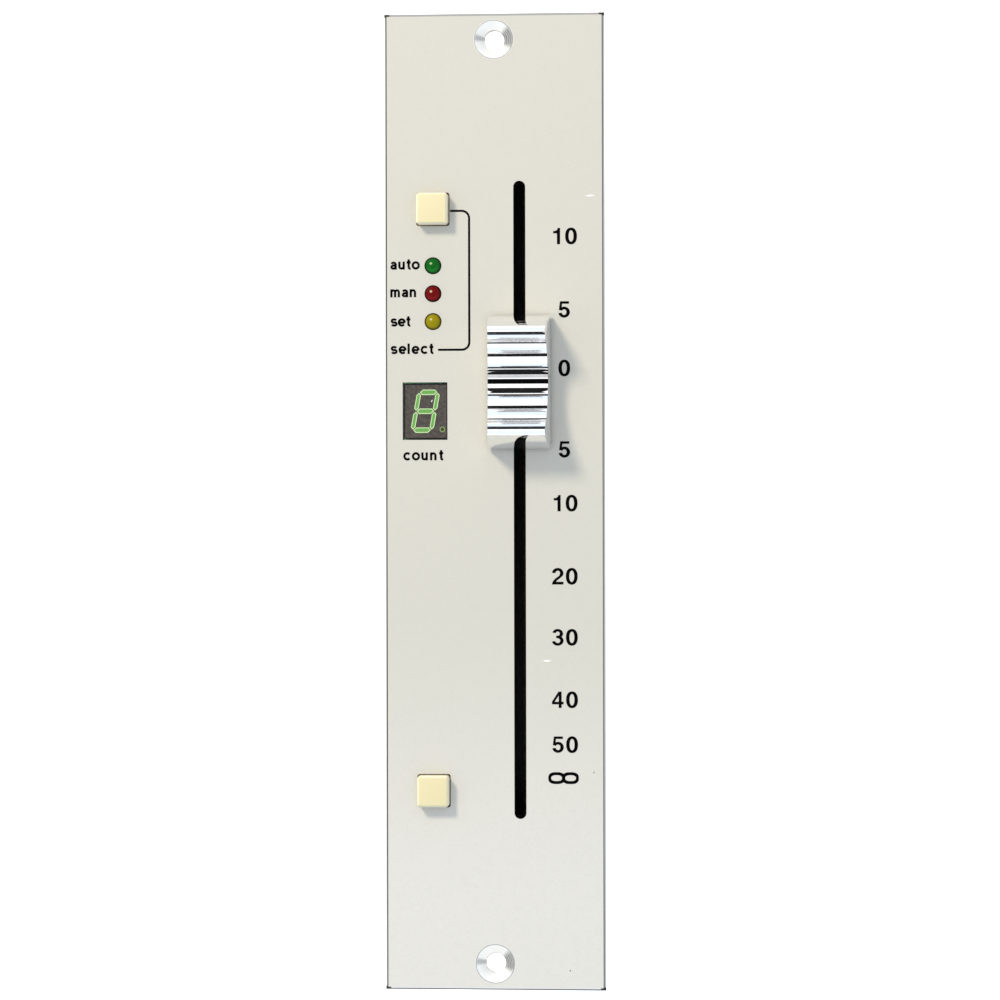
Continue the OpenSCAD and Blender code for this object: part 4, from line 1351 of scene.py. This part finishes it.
def digit_loops(digit: str) -> list[list[Flat]]:
    """Draws a bold figure 2.86 mm high, centred on the origin, as closed loops.

    Args:
        digit: One of 0 to 5.

    Returns:
        The outline, then its holes, in millimetres.
    """
    if digit == "0":
        return [
            arc((0, 0), (1.04, 1.47), 0, 345, 23, 2.25),
            arc((0, 0), (0.43, 1.0), 0, 345, 23, 2.15),
        ]
    if digit == "1":
        return [[
            (-0.02, -1.43), (0.53, -1.43), (0.53, 1.43), (0.12, 1.43), (0.04, 1.15), (-0.14, 0.98),
            (-0.38, 0.90), (-0.68, 0.88), (-0.68, 0.48), (-0.02, 0.48),
        ]]
    if digit == "2":
        return [[
            *arc((0.0, 0.56), (1.0, 0.91), 178, -28, 14),
            (0.66, -0.1), (0.26, -0.44), (-0.12, -0.72), (-0.3, -0.96), (1.0, -0.96), (1.0, -1.43),
            (-1.0, -1.43), (-0.96, -1.12), (-0.82, -0.82), (-0.52, -0.48), (-0.1, -0.16),
            (0.28, 0.12),
            *arc((0.0, 0.56), (0.4, 0.43), -38, 178, 12),
        ]]
    if digit == "3":
        return [[
            *arc((-0.03, 0.65), (0.94, 0.82), 168, -38, 13),
            *arc((-0.03, -0.59), (1.03, 0.88), 48, -170, 14),
            *arc((-0.03, -0.59), (0.45, 0.42), -172, 80, 11),
            (-0.30, -0.13), (-0.30, 0.27),
            *arc((-0.03, 0.65), (0.37, 0.37), -80, 165, 11),
        ]]
    if digit == "4":
        return [
            [
                (0.08, 1.43), (0.63, 1.43), (0.63, -0.34), (0.98, -0.34), (0.98, -0.8), (0.63, -0.8),
                (0.63, -1.43), (0.12, -1.43), (0.12, -0.8), (-1.05, -0.8), (-1.05, -0.32),
            ],
            [(0.12, -0.36), (0.12, 0.2), (0.12, 0.72), (-0.24, 0.18), (-0.6, -0.36)],
        ]
    return [[
        (-0.74, 1.43), (0.84, 1.43), (0.84, 1.0), (-0.36, 1.0), (-0.45, 0.36),
        *arc((-0.02, -0.47), (1.02, 0.97), 112, -170, 16),
        *arc((-0.02, -0.47), (0.42, 0.5), -170, 148, 14),
        (-0.93, -0.10),
    ]]


def band(line: Sequence[Flat], width: float) -> list[Flat]:
    """Gives the outline of a line drawn with a broad pen.

    Args:
        line: The pen's path.
        width: The pen's width.

    Returns:
        The closed outline.
    """
    sides: list[list[Flat]] = [[], []]
    for index, here in enumerate(line):
        before, after = line[max(index - 1, 0)], line[min(index + 1, len(line) - 1)]
        along = (Vector(after) - Vector(before)).normalized()
        for side, sign in zip(sides, (1, -1), strict=True):
            reach = sign * width / 2
            side.append((here[0] - along.y * reach, here[1] + along.x * reach))
    return sides[0] + sides[1][::-1]


LETTERS: dict[str, tuple[float, list[list[Flat]]]] = {
    "a": (1.37, [
        [(1.01, 0.0), (0.98, 0.25), (0.98, 0.98), (0.9, 1.17), (0.65, 1.28), (0.4, 1.22), (0.27, 1.03)],
        [
            (0.98, 0.82), (0.72, 0.77), (0.42, 0.7), (0.25, 0.56), (0.24, 0.38), (0.38, 0.22),
            (0.6, 0.19), (0.82, 0.27), (0.97, 0.46),
        ],
    ]),
    "c": (1.36, [arc((0.72, 0.745), (0.52, 0.56), 42, 318, 18)]),
    "e": (1.46, [
        arc((0.72, 0.745), (0.52, 0.56), -6, 318, 20),
        [(0.25, 0.72), (1.2, 0.72)],
    ]),
    "l": (0.58, [[(0.2, 1.92), (0.2, 0.0)]]),
    "m": (1.96, [
        [(0.22, 1.46), (0.22, 0.0)],
        [(0.22, 0.95), (0.3, 1.16), (0.52, 1.28), (0.76, 1.22), (0.87, 1.0), (0.87, 0.0)],
        [(0.87, 0.95), (0.95, 1.16), (1.17, 1.28), (1.42, 1.22), (1.53, 1.0), (1.53, 0.0)],
    ]),
    "n": (1.42, [
        [(0.22, 1.46), (0.22, 0.0)],
        [(0.22, 0.95), (0.33, 1.16), (0.58, 1.28), (0.84, 1.22), (0.97, 1.0), (0.97, 0.0)],
    ]),
    "o": (1.5, [arc((0.74, 0.745), (0.53, 0.56), 0, 360, 24)]),
    "s": (1.32, [[
        (1.04, 1.12), (0.94, 1.235), (0.8, 1.285), *arc((0.55, 1.015), (0.27, 0.27), 90, 270, 8),
        *arc((0.83, 0.475), (0.27, 0.27), 90, -90, 8), (0.55, 0.205), (0.4, 0.25), (0.29, 0.37),
    ]]),
    "t": (0.9, [
        [(0.42, 1.86), (0.42, 0.42), (0.48, 0.24), (0.62, 0.17), (0.78, 0.18)],
        [(0.06, 1.3), (0.78, 1.3)],
    ]),
    "u": (1.42, [
        [(1.0, 1.46), (1.0, 0.0)],
        [(0.24, 1.46), (0.24, 0.46), (0.35, 0.27), (0.6, 0.19), (0.86, 0.28), (1.0, 0.52)],
    ]),
}


@dataclass
class Legends:
    """The printed scale, the line that brackets the lamps and the plain words beside them."""

    ink_t_mm: float = 0.02
    figure_pitch_mm: float = 2.45
    scale_x_mm: float = 12.25
    line_w_mm: float = 0.38
    letter_w_mm: float = 0.4
    letter_h: float = 0.96
    turn_mm: float = 1.3

    def __post_init__(self) -> None:
        """Finds the panel's front face and mixes the ink."""
        self.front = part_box("front_panel")[1].z
        self.ink = Ink().material()
        self.figures: dict[str, bpy.types.Object] = {}

    def build(self) -> None:
        """Prints everything."""
        scale = (
            ("10", 46.45), ("5", 33.6), ("0", 23.35), ("5", 9.1), ("10", -0.3),
            ("20", -13.1), ("30", -23.78), ("40", -34.71), ("50", -42.56),
        )
        pieces = []
        for row, (text, height) in enumerate(scale):
            for column, digit in enumerate(text):
                offset = (column - (len(text) - 1) / 2) * self.figure_pitch_mm
                place = ((self.scale_x_mm + offset) * MM, height * MM, 0)
                pieces.append(copied(self.figure(digit), f"figure_{row}_{column}", place))
        for figure in self.figures.values():
            bpy.data.objects.remove(figure)
        self._settle(joined("scale_figures", pieces))
        self._settle(self._endless_sign((11.97, -48.42)))
        self._settle(self._bracket())
        words = (
            ("auto", -18.35, 40.77, 0.03), ("man", -18.35, 35.9, 0.04), ("set", -18.35, 30.77, 0.0),
            ("select", -18.35, 25.93, 0.13), ("count", -16.1, 7.26, 0.14),
        )
        for text, left, base, gap in words:
            self._settle(self._word(text, left, base, gap))

    def figure(self, digit: str) -> bpy.types.Object:
        """Gives the pattern of a digit, modelled once."""
        if digit not in self.figures:
            self.figures[digit] = self._print(f"figure_{digit}", digit_loops(digit))
        return self.figures[digit]

    def _print(self, name: str, loops: Sequence[Sequence[Flat]]) -> bpy.types.Object:
        """Prints closed loops in millimetres on the panel's front."""
        parts = [
            chain(f"{name}_loop", [(x * MM, y * MM, self.front) for x, y in loop], closed=True)
            for loop in loops
        ]
        piece = joined(name, parts) if len(parts) > 1 else parts[0]
        piece.name = piece.data.name = name
        return raised(piece, (0, 0, self.ink_t_mm * MM))

    def _settle(self, piece: bpy.types.Object) -> None:
        """Inks a print and fixes it to the panel."""
        settle(dress(piece, self.ink), "panel", "index_black")

    def _endless_sign(self, centre: Flat) -> bpy.types.Object:
        """Prints the sign at the foot of the scale: two ovals side by side."""
        x, y = centre
        lobe, hole = (1.45, 1.04), (0.95, 0.52)
        right = arc((x + 1.23, y), lobe, -138, 138, 26, 2.7)
        left = arc((x - 1.23, y), lobe, 42, 318, 26, 2.7)
        holes = [arc((x + side * 1.23, y), hole, 0, 345, 23, 2.5) for side in (-1, 1)]
        right = [point for point in right if point[0] >= x]
        left = [point for point in left if point[0] <= x]
        return self._print("endless_sign", [right + left, *holes])

    def _bracket(self) -> bpy.types.Object:
        """Prints the line from the upper key down to the lamps' last word."""
        start, side, end = -7.75, -4.42, -9.93
        top, bottom = 51.0, 26.65
        half = self.line_w_mm / 2

        def edge(out: float) -> list[Flat]:
            """Draws one edge of the line, offset outwards."""
            radius = self.turn_mm + out
            return [
                (start, top + out),
                *arc((side - self.turn_mm, top - self.turn_mm), (radius, radius), 90, 0, 8),
                *arc((side - self.turn_mm, bottom + self.turn_mm), (radius, radius), 0, -90, 8),
                (end, bottom - out),
            ]

        return self._print("bracket_line", [edge(half) + edge(-half)[::-1]])

    def _word(self, text: str, left_mm: float, base_mm: float, gap_mm: float) -> bpy.types.Object:
        """Prints a plain word, stroke by stroke.

        Args:
            text: The word.
            left_mm: Where it starts.
            base_mm: Its base line.
            gap_mm: The room added after each letter.

        Returns:
            The printed word.
        """
        strokes = []
        pen = left_mm
        for letter in text:
            advance, lines = LETTERS[letter]
            for line in lines:
                path = [(pen + x, base_mm + y * self.letter_h) for x, y in line]
                loop = band(path, self.letter_w_mm)
                strokes.append(self._print(f"stroke_{letter}", [loop]))
            pen += advance + gap_mm
        return joined(f"word_{text}", strokes)


@dataclass
class ControlBoard:
    """The board behind the panel with what stands on it."""

    solder_r_mm: float = 0.75
    solder_h_mm: float = 0.55
    key_travel_mm: float = 1.2

    def build(self) -> None:
        """Models the solder joints and dresses the parts."""
        low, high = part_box("control_board")
        self._solder("lamp_leads", Side.REAR, low.z)
        self._solder("display_pins", Side.REAR, low.z)
        self._solder("switch_pins", Side.REAR, low.z)
        self._solder("ribbon_pins", Side.FRONT, high.z)
        self._solder("chip_legs", Side.FRONT, high.z)
        self._solder("resistors", Side.FRONT, high.z)
        self._solder("capacitors", Side.FRONT, high.z)
        green = Laminate("board_laminate", srgb(22, 84, 50), srgb(62, 128, 78), srgb(176, 168, 120))
        dress_nodes(["control_board"], green.material())
        middle = (low.x + high.x) / 2 / MM
        dress_nodes(["resistors"], BandedResistor(middle).material())
        can = SleevedCan(middle, 3.2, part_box("capacitors")[0].z / MM)
        dress_nodes(["capacitors"], can.material())
        black = Moulding("black_moulding", srgb(30, 31, 33), srgb(44, 45, 47), 0.42)
        soft_black = black.material()
        for node in ("logic_chip", "ribbon_header", "display_socket"):
            softened(node, 0.12, soft_black, "black_moulding")
        dark = Moulding("switch_moulding", srgb(40, 42, 45), srgb(58, 60, 63), 0.4).material()
        for node in ("upper_key_switch", "lower_key_switch"):
            softened(node, 0.2, dark, "switch_moulding")
        white = Moulding("natural_moulding", srgb(226, 222, 208), srgb(206, 200, 182), 0.45)
        natural = white.material()
        dress_nodes(["lamp_spacers", "idler_pulley", "upper_plunger", "lower_plunger"], natural)
        tinned = Metal("tinned", srgb(214, 214, 210), srgb(170, 170, 165), 0.28)
        dress_nodes(["lamp_leads", "switch_pins", "chip_legs"], tinned.material())
        wire = Metal("spring_steel", srgb(204, 204, 202), srgb(160, 160, 158), 0.22).material()
        for key in ("upper", "lower"):
            self._spring(f"{key}_return_spring", wire)

    def _spring(self, node: str, wire: bpy.types.Material) -> bpy.types.Object:
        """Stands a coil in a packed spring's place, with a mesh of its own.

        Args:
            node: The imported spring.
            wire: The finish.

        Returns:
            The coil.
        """
        coil = smooth(merged_form(node), 60)
        settle(dress(coil, wire), BODY_OF[node], "spring_steel", node)
        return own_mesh(coil)

    def _solder(self, node: str, side: Side, face: float) -> None:
        """Puts a solder joint round every pin of a node, on one face of the board."""
        facing = 1 if side is Side.FRONT else -1
        profile = [
            (0, 0), (self.solder_r_mm, 0), (self.solder_r_mm * 0.72, 0.12), (0.4, 0.3), (0.28, 0.5),
            (0, self.solder_h_mm),
        ]
        points = [(radius * MM, face + facing * height * MM) for radius, height in profile]
        first, *others = self._pins(node, face)
        joint = turned(f"{node}_joint", points, first, 12)
        joints = [joint] + [
            copied(joint, f"{node}_joint_{number}", (place[0] - first[0], place[1] - first[1], 0))
            for number, place in enumerate(others)
        ]
        piece = joined(f"{node}_solder", joints)
        smooth(piece, 60)
        solder = Metal(f"{node}_solder", srgb(206, 207, 208), srgb(160, 162, 164), 0.2, 0.3)
        dress(piece, solder.material())
        settle(piece, "panel", "tinned")

    @staticmethod
    def _pins(node: str, face: float) -> list[Flat]:
        """Finds where a node's pins pass a face of the board.

        Args:
            node: The node's name.
            face: The height of the board's face.

        Returns:
            The centre of each pin.
        """
        mesh = frame["nodes"][node].data
        near = [v.co for v in mesh.vertices if abs(abs(v.co.z - face) - 0.6 * MM) < 0.05 * MM]
        found: list[list[Vector]] = []
        for corner in near:
            for group in found:
                if (group[0].xy - corner.xy).length < 0.9 * MM:
                    group.append(corner)
                    break
            else:
                found.append([corner])
        return [
            (
                (min(c.x for c in group) + max(c.x for c in group)) / 2,
                (min(c.y for c in group) + max(c.y for c in group)) / 2,
            )
            for group in found
        ]


@dataclass
class FaderDrive:
    """The chassis, rods, carriage, belt drive and motor behind the slot."""

    def build(self) -> None:
        """Dresses the mechanism and softens its mouldings."""
        steel = Moulding("black_steel", srgb(34, 35, 37), srgb(50, 51, 53), 0.34, 0.3, 0.004)
        dress_nodes(["fader_chassis"], steel.material())
        zinc = Metal("zinc", srgb(206, 206, 200), srgb(176, 178, 176), 0.3, 0.3, blotch_mm=5.0)
        dress_nodes(
            [
                "chassis_studs", "chassis_nuts", "board_studs", "board_spacers", "board_nuts",
                "plate_screws", "motor_screws", "motor_plate", "idler_plate", "idler_ring",
            ],
            zinc.material(),
        )
        ground = Metal("ground_steel", srgb(222, 223, 224), srgb(190, 192, 194), 0.1, 0.06, (1.0, 8.0, 1.0))
        dress_nodes(["left_guide_rod", "right_guide_rod", "motor_shaft", "idler_pin"], ground.material())
        blank = Metal("stem_steel", srgb(190, 190, 192), srgb(150, 150, 152), 0.3, 0.12, (1.0, 1.0, 0.1))
        dress_nodes(["knob_stem"], blank.material())
        rubber = Moulding("stop_rubber", srgb(24, 24, 24), srgb(40, 39, 38), 0.7, 0.3, 0.01)
        dress_nodes(["stop_sleeves"], rubber.material())
        dress_nodes(["drive_belt"], RibbedBelt().material())
        brown = Laminate("track_laminate", srgb(96, 66, 34), srgb(128, 92, 50), srgb(150, 118, 70), 2.0)
        dress_nodes(["track_board"], brown.material())
        carbon = Moulding("carbon_track", srgb(34, 34, 36), srgb(46, 46, 48), 0.3, 0.4)
        dress_nodes(["level_track"], carbon.material())
        silver = Metal("silver_track", srgb(214, 212, 204), srgb(176, 170, 156), 0.25)
        dress_nodes(["collector_track"], silver.material())
        gold = Metal("contact_metal", srgb(226, 190, 108), srgb(190, 150, 76), 0.22)
        dress_nodes(
            ["track_pins", "wiper_spring", "motor_terminals", "display_pins", "ribbon_pins"],
            gold.material(),
        )
        brass = Metal("pulley_brass", srgb(214, 176, 96), srgb(180, 140, 66), 0.22, 0.08)
        dress_nodes(["motor_pulley"], brass.material())
        case = Metal("motor_case", srgb(200, 201, 203), srgb(172, 174, 177), 0.26, 0.1, (1.0, 1.0, 0.06))
        dress_nodes(["motor_can"], case.material())
        black = Moulding("carriage_moulding", srgb(30, 31, 33), srgb(44, 45, 47), 0.45).material()
        for node in ("carriage", "motor_end_cap", "track_header"):
            softened(node, 0.15, black, "black_moulding")
        grey = Moulding("clamp_moulding", srgb(62, 65, 68), srgb(80, 82, 84), 0.45).material()
        softened("belt_clamp", 0.1, grey, "clamp_moulding")


@dataclass
class Face:
    """What shows from the front besides the prints and the knob."""

    cap_edge_mm: float = 0.28

    def build(self) -> None:
        """Dresses the panel and models the keys and lamps."""
        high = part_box("front_panel")[1] / MM
        dress_nodes(["front_panel"], PanelPaint(high.x, high.z, 81.0).material())
        dress_nodes(["index_line"], Ink("index_black").material())
        ivory = Ivory().material()
        for node in ("upper_button_cap", "lower_button_cap"):
            softened(node, self.cap_edge_mm, ivory, "ivory_keys")
        lamps = (
            IndicatorLamp(
                "green_lamp", "green_lens", srgb(7, 80, 16), srgb(34, 120, 44), srgb(4, 42, 12)
            ),
            IndicatorLamp("red_lamp", "red_lens", srgb(92, 2, 4), srgb(128, 26, 26), srgb(44, 0, 3)),
            IndicatorLamp(
                "yellow_lamp", "yellow_lens", srgb(130, 117, 4), srgb(146, 136, 22), srgb(70, 62, 8)
            ),
        )
        for lamp in lamps:
            lamp.build()


@dataclass
class Studio:
    """The pale floor, the soft lights and the camera."""

    camera_at_mm: Point = (48.0, 0.0, 640.0)
    aim_mm: Point = (0.916, 0.275, 2.5)
    roll: float = -0.0021
    lens_mm: float = 131.33
    key_at_mm: Point = (-455.0, 610.0, 720.0)
    key_watts: float = 8.9
    sky: float = 1.13

    def build(self) -> None:
        """Sets up the shot."""
        self._floor()
        self._sky()
        self._key()
        self._card("dark_card", ((-200.0, -120.0, 660.0), (120.0, 220.0, 660.0)), 0.01, 0.0)
        self._card("pale_card", ((-1200.0, -1200.0, 900.0), (1200.0, 1200.0, 900.0)), 0.1, 1.05)
        self._camera()

    def _floor(self) -> None:
        """Lays a pale floor under the lowest point."""
        let_go()
        depth = CAD_BOX[0][2] - 0.3 * MM
        bpy.ops.mesh.primitive_plane_add(size=6, location=(0, 0, depth))
        floor = bpy.context.object
        floor.name = "studio_floor"
        shader = Shader("studio_floor")
        tone = shader.grain(400.0, 1.0)
        colour = shader.mix(tone * 0.3, (0.97, 0.97, 0.97, 1), (0.94, 0.94, 0.95, 1))
        dress(floor, shader.surface(
            Base_Color=colour, Roughness=0.8, Emission_Color=(1.0, 1.0, 1.0, 1.0), Emission_Strength=0.4
        ))

    def _sky(self) -> None:
        """Surrounds the shot with even, slightly cool light."""
        world = bpy.data.worlds.new("studio_sky")
        world.use_nodes = True
        sky = world.node_tree.nodes["Background"]
        sky.inputs["Color"].default_value = (0.81, 0.89, 1.0, 1.0)
        sky.inputs["Strength"].default_value = self.sky
        bpy.context.scene.world = world

    def _key(self) -> None:
        """Hangs a soft light up to the left, which throws the soft shadows."""
        let_go()
        bpy.ops.object.light_add(type="AREA", location=[part * MM for part in self.key_at_mm])
        key = bpy.context.object
        key.name = "key_light"
        key.data.shape = "DISK"
        key.data.size = 0.22
        key.data.energy = self.key_watts
        key.data.color = (1.0, 0.897, 0.737)
        key.rotation_euler = (-Vector(self.key_at_mm)).to_track_quat("-Z", "Y").to_euler()

    def _card(self, name: str, corners_mm: tuple[Point, Point], tone: float, glow: float) -> None:
        """Holds a card behind the camera that only mirrors show.

        Args:
            name: The card's name.
            corners_mm: Its two corners.
            tone: How pale it is.
            glow: How much light it gives off.
        """
        low, high = (Vector(corner) * MM for corner in corners_mm)
        let_go()
        bpy.ops.mesh.primitive_plane_add(size=1, location=(low + high) / 2)
        card = bpy.context.object
        card.name = name
        open_whole(card)
        bpy.ops.transform.resize(value=(high.x - low.x, high.y - low.y, 1))
        bpy.ops.object.mode_set(mode="OBJECT")
        card.visible_camera = card.visible_shadow = card.visible_diffuse = False
        shader = Shader(name)
        cloud = shader.grain(40.0, 2.0)
        colour = shader.mix(cloud * 0.2, (tone, tone, tone, 1), (0.0, 0.0, 0.0, 1))
        dress(card, shader.surface(
            Base_Color=colour,
            Roughness=0.9,
            Specular_IOR_Level=0.0,
            Emission_Color=(1.0, 1.0, 1.0, 1.0),
            Emission_Strength=glow,
        ))

    def _camera(self) -> None:
        """Stands the camera where the photograph was taken."""
        let_go()
        bpy.ops.object.camera_add(location=[part * MM for part in self.camera_at_mm])
        camera = bpy.context.object
        camera.name = "camera"
        camera.data.lens = self.lens_mm
        camera.data.sensor_width = 36.0
        camera.data.clip_end = 20.0
        camera.data.dof.use_dof = False
        look = (Vector(self.aim_mm) - Vector(self.camera_at_mm)).normalized()
        right = look.cross(Vector((0, 1, 0))).normalized()
        above = right.cross(look)
        turn = Matrix((right, above, -look)).transposed()
        camera.rotation_euler = (turn @ Matrix.Rotation(self.roll, 3, "Z")).to_euler()
        scene = bpy.context.scene
        scene.camera = camera
        scene.view_settings.view_transform = "Standard"


def main() -> None:
    """Builds the dressed part and the shot."""
    logging.basicConfig(level=logging.INFO, format="%(message)s")
    for part in (Face(), SaddleKnob(), DigitDisplay(), Legends(), FaderDrive(), ControlBoard(), Studio()):
        part.build()
        log.info("%s done", type(part).__name__)
    let_go()


if __name__ == "__main__":
    main()
